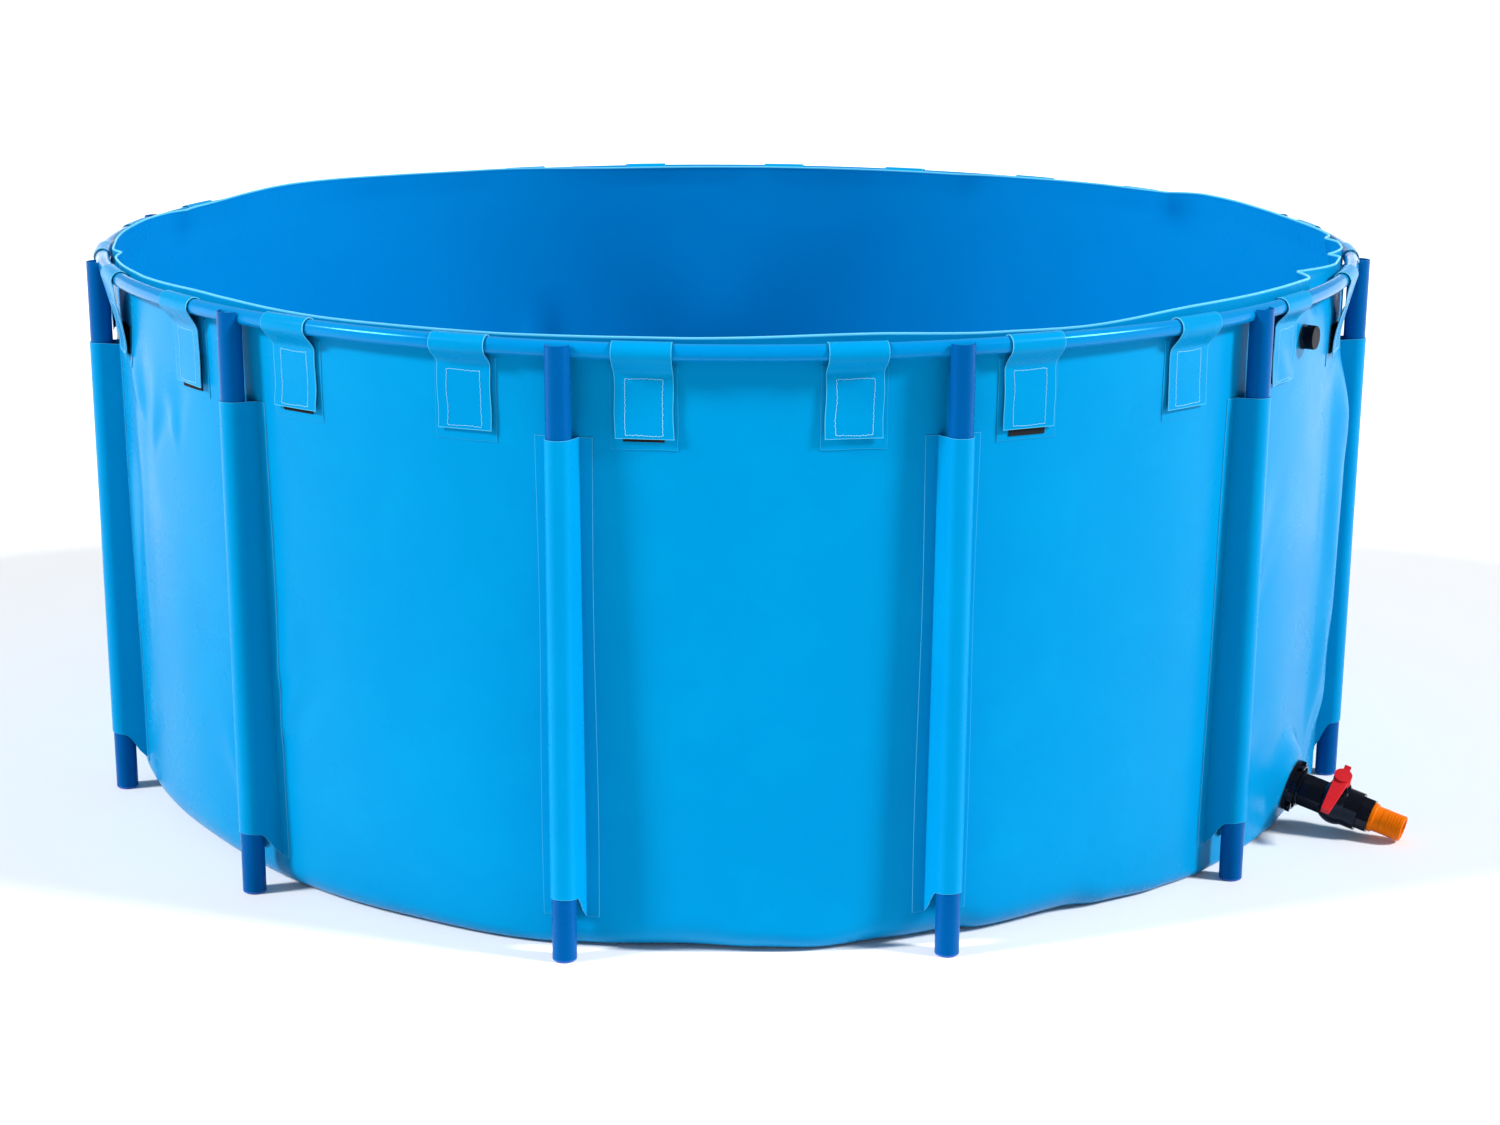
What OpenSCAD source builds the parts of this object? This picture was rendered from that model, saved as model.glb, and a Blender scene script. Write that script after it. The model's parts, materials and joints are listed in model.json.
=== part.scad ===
// Round collapsible water trough: a coated-fabric liner hung by straps from a tube ring on posts,
// with a ball-valve drain at the foot of the wall and a capped overflow port under the rim.
// Millimetres. +Z is up and the origin is on the tank's axis, on the underside of the floor.
// A bearing of 0 degrees points along -Y and grows towards +X.

/* [Frame] */
// Radius of the circle through the post centres
post_circle_r = 1000; // [980:5:1020]
// Outer diameter of a post
post_d = 33.5; // [32:0.5:35]
// Wall thickness of a post
post_wall = 1.5; // [1.2:0.1:2]
// Height of a post above the ground
post_h = 840; // [780:5:900]
// Outer diameter of the ring tube
ring_d = 22; // [20:0.5:24]
// Wall thickness of the ring tube
ring_wall = 1.2; // [1:0.1:1.8]
// Distance from the post centre in to the ring tube's centre
ring_inset = 11; // [10:0.5:12]
// Depth of the ring tube's centre below the top of the posts
ring_drop = 8; // [2:0.5:9]

/* [Liner] */
// Thickness of the coated fabric as a solid
liner_t = 1.5; // [1:0.1:2]
// Outer radius of the wall where it leaves the rounded bottom corner
wall_foot_r = 965; // [955:1:968]
// Outer radius of the wall at the free rim
wall_rim_r = 976.6; // [976:0.1:976.8]
// Height of the free rim
rim_z = 852; // [848:1:860]
// Radius of the rounded corner between wall and floor
corner_r = 40; // [25:1:60]
// Height of the lower end of a post sleeve
sleeve_foot_z = 90; // [70:5:120]
// Height of the upper end of a post sleeve
sleeve_top_z = 717; // [650:1:730]
// Overall width of a sleeve's welded flanges
sleeve_flange_w = 76; // [60:1:90]

/* [Straps] */
// Angle from the middle of a bay back to its first strap
first_strap_angle = 8.8; // [7:0.1:9]
// Angle from the middle of a bay on to its second strap
second_strap_angle = 7.1; // [7:0.1:9]
// Width of a strap
strap_w = 77; // [60:1:90]
// Thickness of a strap
strap_t = 1.2; // [1:0.1:1.5]
// Height of the lower end of a closed strap
strap_end_z = 717; // [700:1:740]
// Width of the hook-and-loop pads
pad_w = 54; // [45:1:60]
// Height of a strap's hook pad
pad_h = 71; // [60:1:74]
// Width of the backing patch under a strap
patch_w = 83; // [80:1:90]

/* [Drain] */
// Bearing of the drain
drain_bearing = 60; // [59:0.5:61]
// Height of the drain's axis where it leaves the wall
drain_z = 67; // [67:0.5:70]
// Angle that the drain hangs below horizontal
drain_droop = 13.5; // [10:0.5:14]
// Roll of the valve about its own pipe
valve_roll = 24; // [0:1:30]
// Diameter of the wall fitting's flange and of its lock nut
flange_d = 81; // [76:1:84]
// Diameter across the corners of the valve's sockets
socket_d = 54; // [52:0.5:56]
// Diameter of the valve's round housing
housing_d = 66; // [64:1:68]
// Outer diameter of the pipe that the sockets take
pipe_d = 40; // [40]
// Bore of the water passage
passage_d = 31; // [30:0.5:32]
// Length of the handle's arm from the stem
handle_arm = 72; // [60:1:80]
// Outer diameter of the hose tail
tail_d = 39.5; // [38:0.5:40]

/* [Overflow] */
// Bearing of the overflow port
overflow_bearing = 56; // [55.5:0.1:57]
// Height of the overflow port
overflow_z = 771; // [765:1:780]
// Diameter of the overflow cap
cap_d = 35; // [34:0.5:36]

/* [Hidden] */
$fn = 96;
post_count = 12;
strap_count = 2 * post_count;
bay_angle = 360 / post_count;
ring_piece_count = 6;
fit_gap = 0.05; // a fit between two pieces that bear on each other
clear_gap = 0.3; // a gap between two pieces that move past each other
overlap = 1; // how far a cut, or a joined shape, runs past the face it meets
sweep_fn = 360; // sides of a full turn of the liner or the ring

ring_r = post_circle_r - ring_inset;
ring_z = post_h - ring_drop;
ring_piece_angle = 360 / ring_piece_count;
ring_joint_gap = 0.4;
spigot_half_angle = 2.3;
ring_gap = 0.25; // between the ring tube and what it lies in or what wraps it
saddle_r = ring_d / 2 + ring_gap;
tube_fn = 64;
foot_flange_t = 3;
foot_plug_h = 18;
foot_plug_wall = 2.45;
foot_edge_r = 1.5;

corner_points = 8;
flat_floor_r = wall_foot_r - corner_r;
sleeve_t = 1.2;
sleeve_flange_foot_z = 50;
sleeve_post_gap = 0.4;
sleeve_half_w = 21; // at the wall
sleeve_bury = 5; // how far the loop's outline runs in behind the wall's face

pad_t = 1.5;
patch_t = 1;
patch_end_z = strap_end_z - 11;
patch_top_z = 760;
pad_margin = 5; // loop pad below the strap's end
hook_z = strap_end_z + 3;
tab_foot_z = 765;
tab_bend_z = 800;
tab_t = 1;
tab_mid_r = saddle_r + tab_t / 2;
tab_arc_points = 18;
tab_end_angle = 2; // where the tab ends, above the ring's outermost point
flap_gap = 1.25; // clears the tab as the flap swings
flap_mid_r = tab_mid_r + tab_t / 2 + flap_gap + strap_t / 2;
flap_arc_points = 5;
flap_bend_points = 8;
flap_start_angle = 10;
flap_leave_angle = -30; // where the flap leaves the ring
flap_pull = 17; // how firmly the flap's S-bend keeps its end directions
flap_land_z = 787; // where the flap meets its pad
flap_lift = patch_t + 2 * pad_t + clear_gap + strap_t / 2;

boss_r = 50; // the liner's flat boss under the drain flange
boss_face = 13; // distance along the drain's axis from the wall to the boss's outer face
boss_t = 2;
gasket_t = 2;
flange_t = 6;
barrel_r = 28;
barrel_end = boss_face + 20;
nut_base_t = 5;
nut_h = 13;
nut_shoulder = 5; // how far the nut's upper part stands in from its edge
nut_recess = [5, 3]; // width and depth of the recess round the nut's bore
nut_lugs = 10;
nut_lug = [8, 7, 11];
socket_depth = 24;
pipe_end_gap = 1; // between a pipe's end and the bottom of its socket
valve_half = 55;
valve_mid = barrel_end + 1 + valve_half;
socket_root = 19; // from the ball's centre to the body socket's inner end
body_rim = 33; // from the ball's centre to the body's threaded end
rim_d = housing_d - 7;
end_rim_t = 4;
seat_face = 13; // from the ball's centre to the front of each seat
seat_back = 27; // from the ball's centre to the back of each seat
ball_r = 23;
cavity_r = 24.6;
seat_bore_r = 15.5;
body_bore_r = seat_bore_r + 1;
ball_bore_r = 15;
stem_r = 7;
stem_collar_r = 9.5;
stem_collar_h = 23.8;
stem_collar_t = 2.5;
stem_square = 10;
stem_top_h = 58;
o_ring_heights = [33, 39];
o_ring_r = 0.78;
o_ring_fn = 24;
o_ring_groove = [1.6, 1.8]; // depth and height
neck_r = 13;
neck_top_h = 46;
neck_ring = [2.5, 3]; // how far it stands out, and its height
neck_ring_h = 36;
tang_w = 12;
tang_t = 5;
tang_h = 7;
tang_foot_h = 18.2;
tang_gap = 0.15;
hub_r = 13.5;
hub_foot_h = neck_top_h + 0.6;
hub_top_h = 62;
arm_t = 9;
arm_top_h = hub_top_h - 2;
arm_hub_w = 23;
arm_tip_w = 12.5;
arm_fall = 6; // how much lower the arm is at its tip
thumb_reach = 21;
thumb_w = 10;
thumb_root = 6; // length of the tab's narrowing into the hub
thumb_rise = 3;
tail_start = valve_half - socket_depth + pipe_end_gap;
tail_collar_t = 6;
tail_collar_w = 2.75;
tail_collar_gap = 0.2;
tail_reach = 51;
tail_chamfer = 1;
tail_groove_gap = 4;
tail_groove = [0.5, 1.2]; // depth and width
tail_grooves = 3;

port_r = 13.4;
port_flange_r = 22;
port_bore_r = 10;
port_flange_t = 4;
port_end = 15.9;
port_seat = -liner_t - gasket_t - clear_gap; // the inner flange's face, behind its gasket
port_nut_r = 19;
port_nut_t = 4.5;
cap_foot = 7;
cap_top = 20;
cap_seal_t = 1.5;
cap_seal_gap = 0.2;
cap_thread_gap = 0.25;
cap_ribs = 24;
cap_rib_r = 1.1;
cap_rib_out = 0.6; // how far a rib stands out of the cap's side
cap_rib_drop = 1.5; // how far a rib ends below the cap's top

liner_blue = "deepskyblue";
tube_blue = "mediumblue";

function two_digits(n) = n < 10 ? str("0", n) : str(n);
function post_bearing(i) = bay_angle * (i + 0.5);
function strap_bearing(i) =
    bay_angle * floor(i / 2) + (i % 2 == 0 ? -first_strap_angle : second_strap_angle);
function wall_r(z) =
    wall_foot_r + (wall_rim_r - wall_foot_r) * (z - corner_r) / (rim_z - corner_r);
function arc_points(centre, r, from, to, count) =
    [for (i = [0:count]) let (a = from + (to - from) * i / count) centre + r * [cos(a), sin(a)]];
function bezier(a, b, c, d, count) =
    [for (i = [1:count]) let (u = i / count, v = 1 - u)
        v * v * v * a + 3 * v * v * u * b + 3 * v * u * u * c + u * u * u * d];
// A band of even thickness along a path, as an outline
function path_normal(path, i) =
    let (a = path[max(0, i - 1)], b = path[min(len(path) - 1, i + 1)], d = (b - a) / norm(b - a))
    [-d.y, d.x];
function ribbon(path, t) = concat(
    [for (i = [0:len(path) - 1]) path[i] + path_normal(path, i) * t / 2],
    [for (i = [len(path) - 1:-1:0]) path[i] - path_normal(path, i) * t / 2]);
// Half of the angle that a width takes up on the wall
function half_angle(w) = asin(w / 2 / wall_rim_r);

sleeve_flange_in = asin((sleeve_half_w - sleeve_t) / wall_foot_r);
sleeve_flange_half = (half_angle(sleeve_flange_w) - sleeve_flange_in) / 2;
sleeve_flange_centre = sleeve_flange_in + sleeve_flange_half;

ring_centre = [ring_r, ring_z];
tab_path = concat(
    [[wall_r(tab_foot_z) + tab_t / 2 + fit_gap, tab_foot_z],
     [wall_r(tab_bend_z) + tab_t / 2 + fit_gap, tab_bend_z]],
    arc_points(ring_centre, tab_mid_r, 180, tab_end_angle, tab_arc_points));
flap_leave = ring_centre + flap_mid_r * [cos(flap_leave_angle), sin(flap_leave_angle)];
flap_land = [wall_r(flap_land_z) + flap_lift, flap_land_z];
flap_path = concat(
    arc_points(ring_centre, flap_mid_r, flap_start_angle, flap_leave_angle, flap_arc_points),
    bezier(flap_leave, flap_leave + flap_pull * [sin(flap_leave_angle), -cos(flap_leave_angle)],
        flap_land + [0, flap_pull], flap_land, flap_bend_points),
    [[wall_r(strap_end_z) + flap_lift, strap_end_z]]);

// Turns what is drawn at bearing 0 to another bearing
module at_bearing(angle) rotate([0, 0, angle]) children();

// Sweeps an outline of radius and height over a narrow sector about bearing 0
module sector(half) rotate([0, 0, -90 - half]) rotate_extrude(angle = 2 * half, $fn = sweep_fn) children();

// A sheet of thickness t standing off the wall's outer face, between two heights
module wall_sheet(low, high, off, t, w) sector(half_angle(w)) polygon([
    [wall_r(low) + off, low], [wall_r(low) + off + t, low],
    [wall_r(high) + off + t, high], [wall_r(high) + off, high]]);

// The space inside the liner, or inside its outer face with skin = 0
module tank_space(skin, top) rotate_extrude($fn = sweep_fn) polygon(concat(
    [[0, skin]],
    arc_points([flat_floor_r, corner_r], corner_r - skin, -90, 0, corner_points),
    [[wall_r(top) - skin, top], [0, top]]));

// Frames: +Z along the drain outwards from the wall, +Y up along the unrolled stem
module at_drain() at_bearing(drain_bearing) translate([0, -wall_foot_r, drain_z])
    rotate([90 + drain_droop, 0, 0]) children();
module at_valve() at_drain() translate([0, 0, valve_mid]) rotate([0, 0, valve_roll]) children();
module at_overflow() at_bearing(overflow_bearing)
    translate([0, -wall_r(overflow_z), overflow_z]) rotate([90, 0, 0]) children();

module tube(r, bore, from, to) translate([0, 0, from]) difference() {
    cylinder(r = r, h = to - from);
    translate([0, 0, -overlap]) cylinder(r = bore, h = to - from + 2 * overlap);
}

// ---- frame ----

module post(i) color(tube_blue) at_bearing(post_bearing(i)) difference() {
    translate([0, -post_circle_r, 0]) tube(post_d / 2, post_d / 2 - post_wall, foot_flange_t, post_h);
    translate([-post_d, -ring_r, ring_z]) rotate([0, 90, 0]) cylinder(r = saddle_r, h = 2 * post_d);
    translate([-post_d, -ring_r - saddle_r, ring_z]) cube([2 * post_d, post_d, post_h]);
}

module foot_caps() color(tube_blue) for (i = [0:post_count - 1])
    at_bearing(post_bearing(i)) translate([0, -post_circle_r, 0]) difference() {
        union() {
            cylinder(r1 = post_d / 2 - foot_edge_r, r2 = post_d / 2, h = foot_edge_r);
            translate([0, 0, foot_edge_r]) cylinder(d = post_d, h = foot_flange_t - foot_edge_r);
            cylinder(r = post_d / 2 - post_wall - fit_gap, h = foot_plug_h);
        }
        translate([0, 0, foot_flange_t])
            cylinder(r = post_d / 2 - post_wall - fit_gap - foot_plug_wall, h = foot_plug_h);
    }

module ring_arc(r, wall, middle, half) at_bearing(middle) sector(half)
    translate(ring_centre) difference() {
        circle(r = r, $fn = tube_fn);
        circle(r = r - wall, $fn = tube_fn);
    }

module ring_tubes() color(tube_blue) for (i = [0:ring_piece_count - 1])
    ring_arc(ring_d / 2, ring_wall, second_strap_angle + ring_piece_angle * (i + 0.5),
        ring_piece_angle / 2 - asin(ring_joint_gap / 2 / ring_r));

// Short inner tubes that join the ring's pieces, out of sight under a strap
module ring_spigots() color("gray") for (i = [0:ring_piece_count - 1])
    ring_arc(ring_d / 2 - ring_wall - 2 * fit_gap, ring_wall, second_strap_angle + ring_piece_angle * i,
        spigot_half_angle);

// ---- liner ----

module liner_wall() color(liner_blue) difference() {
    union() {
        tank_space(0, rim_z);
        at_drain() translate([0, 0, -boss_r]) cylinder(r = boss_r, h = boss_r + boss_face);
    }
    tank_space(liner_t, rim_z + overlap);
    translate([0, 0, -overlap]) cylinder(r = flat_floor_r, h = corner_r, $fn = sweep_fn);
    at_drain() translate([0, 0, -boss_r])
        cylinder(r = boss_r - liner_t, h = boss_r + boss_face - boss_t);
    at_drain() cylinder(r = barrel_r + fit_gap, h = boss_r);
    at_overflow() translate([0, 0, -port_flange_r])
        cylinder(r = port_r + fit_gap, h = 2 * port_flange_r);
}

module liner_floor() color(liner_blue) cylinder(r = flat_floor_r, h = liner_t, $fn = sweep_fn);

module post_sleeves() color(liner_blue) for (i = [0:post_count - 1]) at_bearing(post_bearing(i)) {
    difference() {
        translate([0, 0, sleeve_foot_z]) linear_extrude(sleeve_top_z - sleeve_foot_z) difference() {
            sleeve_outline(sleeve_post_gap + sleeve_t, sleeve_half_w);
            sleeve_outline(sleeve_post_gap, sleeve_half_w - sleeve_t);
        }
        wall_core();
    }
    for (side = [-1, 1]) at_bearing(side * sleeve_flange_centre) sector(sleeve_flange_half) polygon([
        [wall_r(sleeve_flange_foot_z) + fit_gap, sleeve_flange_foot_z],
        [wall_r(sleeve_flange_foot_z) + sleeve_t, sleeve_flange_foot_z],
        [wall_r(sleeve_top_z) + sleeve_t, sleeve_top_z],
        [wall_r(sleeve_top_z) + fit_gap, sleeve_top_z]]);
}

// The loop of a sleeve around its post, open towards the wall
module sleeve_outline(gap, half) translate([0, -post_circle_r]) {
    circle(d = post_d + 2 * gap);
    polygon([[-post_d / 2 - gap, 0], [post_d / 2 + gap, 0],
        [half, post_circle_r - wall_foot_r + sleeve_bury],
        [-half, post_circle_r - wall_foot_r + sleeve_bury]]);
}

module wall_core() rotate_extrude($fn = sweep_fn) polygon([[0, corner_r],
    [wall_r(corner_r) + fit_gap, corner_r], [wall_rim_r + fit_gap, rim_z], [0, rim_z]]);

// ---- straps ----

module strap_tabs() color(liner_blue) for (i = [0:strap_count - 1])
    at_bearing(strap_bearing(i)) sector(half_angle(strap_w)) polygon(ribbon(tab_path, tab_t));

module strap_patches() color(liner_blue) for (i = [0:strap_count - 1])
    at_bearing(strap_bearing(i))
        wall_sheet(patch_end_z, patch_top_z, fit_gap, patch_t - fit_gap, patch_w);

module loop_pads() color("black") for (i = [0:strap_count - 1])
    at_bearing(strap_bearing(i))
        wall_sheet(strap_end_z - pad_margin, patch_top_z, patch_t, pad_t, pad_w);

module strap(i) at_bearing(strap_bearing(i)) {
    color(liner_blue) sector(half_angle(strap_w)) polygon(ribbon(flap_path, strap_t));
    color("black")
        wall_sheet(hook_z, hook_z + pad_h, patch_t + pad_t + clear_gap, pad_t - fit_gap, pad_w);
}

// ---- drain ----

module drain_fitting() color("black") at_drain() difference() {
    union() {
        translate([0, 0, boss_face - boss_t - gasket_t - flange_t]) cylinder(d = flange_d, h = flange_t);
        translate([0, 0, boss_face - boss_t - gasket_t - overlap])
            cylinder(r = barrel_r, h = barrel_end - boss_face + boss_t + gasket_t + overlap);
        cylinder(d = pipe_d, h = valve_mid - valve_half + socket_depth - pipe_end_gap);
    }
    translate([0, 0, -boss_r]) cylinder(d = passage_d, h = 3 * boss_r);
}

module drain_gaskets() color("dimgray") at_drain() {
    tube(flange_d / 2 - 1, barrel_r + fit_gap, boss_face - boss_t - gasket_t, boss_face - boss_t);
    tube(flange_d / 2 - 1, barrel_r + fit_gap, boss_face, boss_face + gasket_t);
}

module drain_locknut() color("black") at_drain() translate([0, 0, boss_face + gasket_t]) difference() {
    union() {
        cylinder(d = flange_d, h = nut_base_t);
        cylinder(r = flange_d / 2 - nut_shoulder, h = nut_h);
        for (k = [0:nut_lugs - 1]) rotate([0, 0, 360 / nut_lugs * k])
            translate([flange_d / 2 - nut_lug.x, -nut_lug.y / 2, 0]) cube(nut_lug);
    }
    translate([0, 0, -overlap]) cylinder(r = barrel_r + fit_gap, h = nut_h + 2 * overlap);
    translate([0, 0, nut_h - nut_recess.y]) cylinder(r = barrel_r + nut_recess.x, h = nut_h);
}

module octagon_socket(from, to) translate([0, 0, from]) rotate([0, 0, 180 / 8])
    cylinder(d = socket_d, h = to - from, $fn = 8);

module valve_body() color("black") at_valve() difference() {
    union() {
        octagon_socket(-valve_half, -socket_root);
        sphere(d = housing_d);
        cylinder(d = rim_d, h = body_rim);
        rotate([-90, 0, 0]) cylinder(r = neck_r, h = neck_top_h);
        rotate([-90, 0, 0]) translate([0, 0, neck_ring_h])
            cylinder(r = neck_r + neck_ring.x, h = neck_ring.y);
    }
    translate([0, 0, -valve_half - overlap]) cylinder(r = pipe_d / 2 + fit_gap, h = socket_depth + overlap);
    translate([0, 0, -valve_half]) cylinder(r = body_bore_r, h = valve_half);
    translate([0, 0, -seat_back]) cylinder(r = cavity_r, h = seat_back + body_rim + overlap);
    rotate([-90, 0, 0])
        cylinder(r = stem_collar_r + 2 * fit_gap, h = stem_collar_h + stem_collar_t + 4 * fit_gap);
    rotate([-90, 0, 0]) cylinder(r = stem_r + fit_gap, h = neck_top_h + overlap);
}

module valve_end() color("black") at_valve() difference() {
    union() {
        translate([0, 0, seat_back]) cylinder(r = cavity_r - fit_gap, h = body_rim - seat_back + overlap);
        translate([0, 0, body_rim + fit_gap]) cylinder(d = rim_d, h = end_rim_t);
        octagon_socket(body_rim + end_rim_t / 2, valve_half);
    }
    cylinder(r = body_bore_r, h = valve_half);
    translate([0, 0, valve_half - socket_depth]) cylinder(r = pipe_d / 2 + fit_gap, h = valve_half);
}

module valve_seats() color("white") at_valve() for (side = [0, 180]) rotate([0, side, 0]) difference() {
    tube(cavity_r - fit_gap, seat_bore_r, seat_face, seat_back);
    sphere(r = ball_r + fit_gap);
}

// Shut at rest: the ball's bore lies across the pipe
module valve_ball() color("white") at_valve() difference() {
    sphere(r = ball_r);
    translate([-ball_r - overlap, 0, 0]) rotate([0, 90, 0])
        cylinder(r = ball_bore_r, h = 2 * (ball_r + overlap));
    translate([-tang_w / 2 - tang_gap, tang_foot_h - tang_gap, -tang_t / 2 - tang_gap])
        cube([tang_w + 2 * tang_gap, ball_r, tang_t + 2 * tang_gap]);
}

module valve_stem() at_valve() {
    color("dimgray") difference() {
        union() {
            translate([-tang_w / 2, tang_foot_h, -tang_t / 2]) cube([tang_w, tang_h, tang_t]);
            rotate([-90, 0, 0]) translate([0, 0, stem_collar_h])
                cylinder(r = stem_collar_r, h = stem_collar_t);
            rotate([-90, 0, 0]) translate([0, 0, stem_collar_h])
                cylinder(r = stem_r, h = hub_foot_h - stem_collar_h);
            translate([-stem_square / 2, hub_foot_h - overlap, -stem_square / 2])
                cube([stem_square, stem_top_h - hub_foot_h + overlap, stem_square]);
        }
        for (h = o_ring_heights) rotate([-90, 0, 0])
            tube(stem_r + overlap, stem_r - o_ring_groove.x,
                h - o_ring_groove.y / 2, h + o_ring_groove.y / 2);
    }
    color("black") for (h = o_ring_heights) rotate([-90, 0, 0]) translate([0, 0, h])
        rotate_extrude() translate([stem_r - o_ring_r, 0]) circle(r = o_ring_r, $fn = o_ring_fn);
}

module valve_handle() color("red") at_valve() difference() {
    union() {
        rotate([-90, 0, 0]) translate([0, 0, hub_foot_h]) cylinder(r = hub_r, h = hub_top_h - hub_foot_h);
        intersection() {
            linear_extrude(4 * hub_r, center = true) polygon([
                [0, arm_top_h], [thumb_reach - thumb_root, arm_top_h + thumb_rise / 3],
                [thumb_reach, arm_top_h + thumb_rise], [thumb_reach, arm_top_h - thumb_rise],
                [0, arm_top_h - arm_t], [-handle_arm, arm_top_h - arm_t - arm_fall],
                [-handle_arm, arm_top_h - arm_fall]]);
            rotate([-90, 0, 0]) linear_extrude(2 * hub_top_h) polygon([
                [thumb_reach, -thumb_w / 2], [thumb_reach, thumb_w / 2], [thumb_root, thumb_w / 2],
                [0, arm_hub_w / 2], [-handle_arm, arm_tip_w / 2], [-handle_arm, -arm_tip_w / 2],
                [0, -arm_hub_w / 2], [thumb_root, -thumb_w / 2]]);
        }
    }
    translate([-stem_square / 2 - fit_gap, hub_foot_h - overlap, -stem_square / 2 - fit_gap])
        cube([stem_square + 2 * fit_gap, stem_top_h - hub_foot_h + overlap + 2 * fit_gap,
            stem_square + 2 * fit_gap]);
}

module hose_tail() color("darkorange") at_valve() difference() {
    union() {
        translate([0, 0, tail_start]) cylinder(d = pipe_d, h = valve_half - tail_start + overlap);
        translate([0, 0, valve_half + tail_collar_gap])
            cylinder(r = tail_d / 2 + tail_collar_w, h = tail_collar_t);
        translate([0, 0, valve_half]) cylinder(d = tail_d, h = tail_reach - tail_chamfer);
        translate([0, 0, valve_half + tail_reach - tail_chamfer])
            cylinder(r1 = tail_d / 2, r2 = tail_d / 2 - tail_chamfer, h = tail_chamfer);
    }
    cylinder(d = passage_d, h = 3 * valve_half);
    for (k = [1:tail_grooves]) translate([0, 0, valve_half + tail_reach - tail_groove_gap * k])
        tube(tail_d, tail_d / 2 - tail_groove.x, -tail_groove.y / 2, tail_groove.y / 2);
}

// ---- overflow ----

module overflow_port() color("black") at_overflow() difference() {
    union() {
        translate([0, 0, port_seat - port_flange_t]) cylinder(r = port_flange_r, h = port_flange_t);
        translate([0, 0, port_seat - overlap]) cylinder(r = port_r, h = port_end - port_seat + overlap);
    }
    translate([0, 0, -2 * port_end]) cylinder(r = port_bore_r, h = 4 * port_end);
}

// Each gasket takes up the wall's curve between the wall and a flat face
module overflow_gaskets() color("dimgray") {
    intersection() {
        at_overflow() tube(port_flange_r - overlap, port_r + fit_gap, port_seat, 0);
        tank_space(liner_t + fit_gap, rim_z);
    }
    difference() {
        at_overflow() tube(port_nut_r - overlap, port_r + fit_gap, -overlap, gasket_t);
        wall_core();
    }
}

module overflow_nut() color("black") at_overflow() difference() {
    translate([0, 0, gasket_t]) cylinder(r = port_nut_r, h = port_nut_t, $fn = 6);
    cylinder(r = port_r + fit_gap, h = port_end);
}

module overflow_cap() color("black") at_overflow() difference() {
    union() {
        translate([0, 0, cap_foot]) cylinder(r = cap_d / 2 - cap_rib_out, h = cap_top - cap_foot);
        for (k = [0:cap_ribs - 1]) rotate([0, 0, 360 / cap_ribs * k])
            translate([cap_d / 2 - cap_rib_r, 0, cap_foot])
                cylinder(r = cap_rib_r, h = cap_top - cap_foot - cap_rib_drop);
    }
    cylinder(r = port_r + cap_thread_gap, h = port_end + cap_seal_t + 3 * fit_gap);
}

module cap_seal() color("dimgray") at_overflow() translate([0, 0, port_end + fit_gap])
    cylinder(r = port_r - cap_seal_gap, h = cap_seal_t);

for (i = [0:post_count - 1])
    post(i);
for (i = [0:strap_count - 1])
    strap(i);
ring_tubes();
ring_spigots();
foot_caps();
liner_wall();
liner_floor();
post_sleeves();
strap_tabs();
strap_patches();
loop_pads();
drain_fitting();
drain_gaskets();
drain_locknut();
valve_body();
valve_end();
valve_seats();
valve_ball();
valve_stem();
valve_handle();
hose_tail();
overflow_port();
overflow_gaskets();
overflow_nut();
overflow_cap();
cap_seal();
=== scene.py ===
"""Looks of a round collapsible water trough: a glossy coated-fabric liner, hung by stitched straps
from a blue tube ring on twelve posts, with a ball-valve drain and a capped overflow port.

Metres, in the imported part's own frame: +Z is up, the origin is under the middle of the floor, and a
bearing of 0 degrees points along -Y and grows towards +X. Cloth is built as thin closed sheets on
grids whose rows run up and whose columns run along the bearing, so that faces look outwards.
"""

import json
import math

import bpy
import numpy as np
from mathutils import Matrix, Vector


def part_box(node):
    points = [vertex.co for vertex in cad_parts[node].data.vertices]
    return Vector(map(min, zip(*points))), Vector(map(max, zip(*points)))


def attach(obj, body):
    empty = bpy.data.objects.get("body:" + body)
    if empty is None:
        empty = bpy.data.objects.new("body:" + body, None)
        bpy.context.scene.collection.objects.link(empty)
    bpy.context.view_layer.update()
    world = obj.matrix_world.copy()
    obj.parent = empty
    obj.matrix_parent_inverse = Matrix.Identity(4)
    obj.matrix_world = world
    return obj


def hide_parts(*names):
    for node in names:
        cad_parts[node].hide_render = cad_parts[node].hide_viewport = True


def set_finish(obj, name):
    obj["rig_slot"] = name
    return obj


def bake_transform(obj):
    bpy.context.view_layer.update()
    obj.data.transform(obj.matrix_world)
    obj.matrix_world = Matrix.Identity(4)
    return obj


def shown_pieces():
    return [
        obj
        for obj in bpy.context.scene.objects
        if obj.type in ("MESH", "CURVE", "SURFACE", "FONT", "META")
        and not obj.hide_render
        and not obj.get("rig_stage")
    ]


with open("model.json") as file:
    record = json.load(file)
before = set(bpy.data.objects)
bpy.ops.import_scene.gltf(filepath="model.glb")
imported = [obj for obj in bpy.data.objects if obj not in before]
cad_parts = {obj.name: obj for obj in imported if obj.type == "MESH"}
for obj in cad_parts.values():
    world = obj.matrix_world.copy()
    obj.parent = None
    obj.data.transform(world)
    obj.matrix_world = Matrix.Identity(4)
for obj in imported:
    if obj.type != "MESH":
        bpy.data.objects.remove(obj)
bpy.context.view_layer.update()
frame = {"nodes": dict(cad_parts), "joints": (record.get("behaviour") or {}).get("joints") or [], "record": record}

MM = 0.001
ROOT = "frame_and_liner"
UP = np.array([0.0, 0.0, 1.0])

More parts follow.
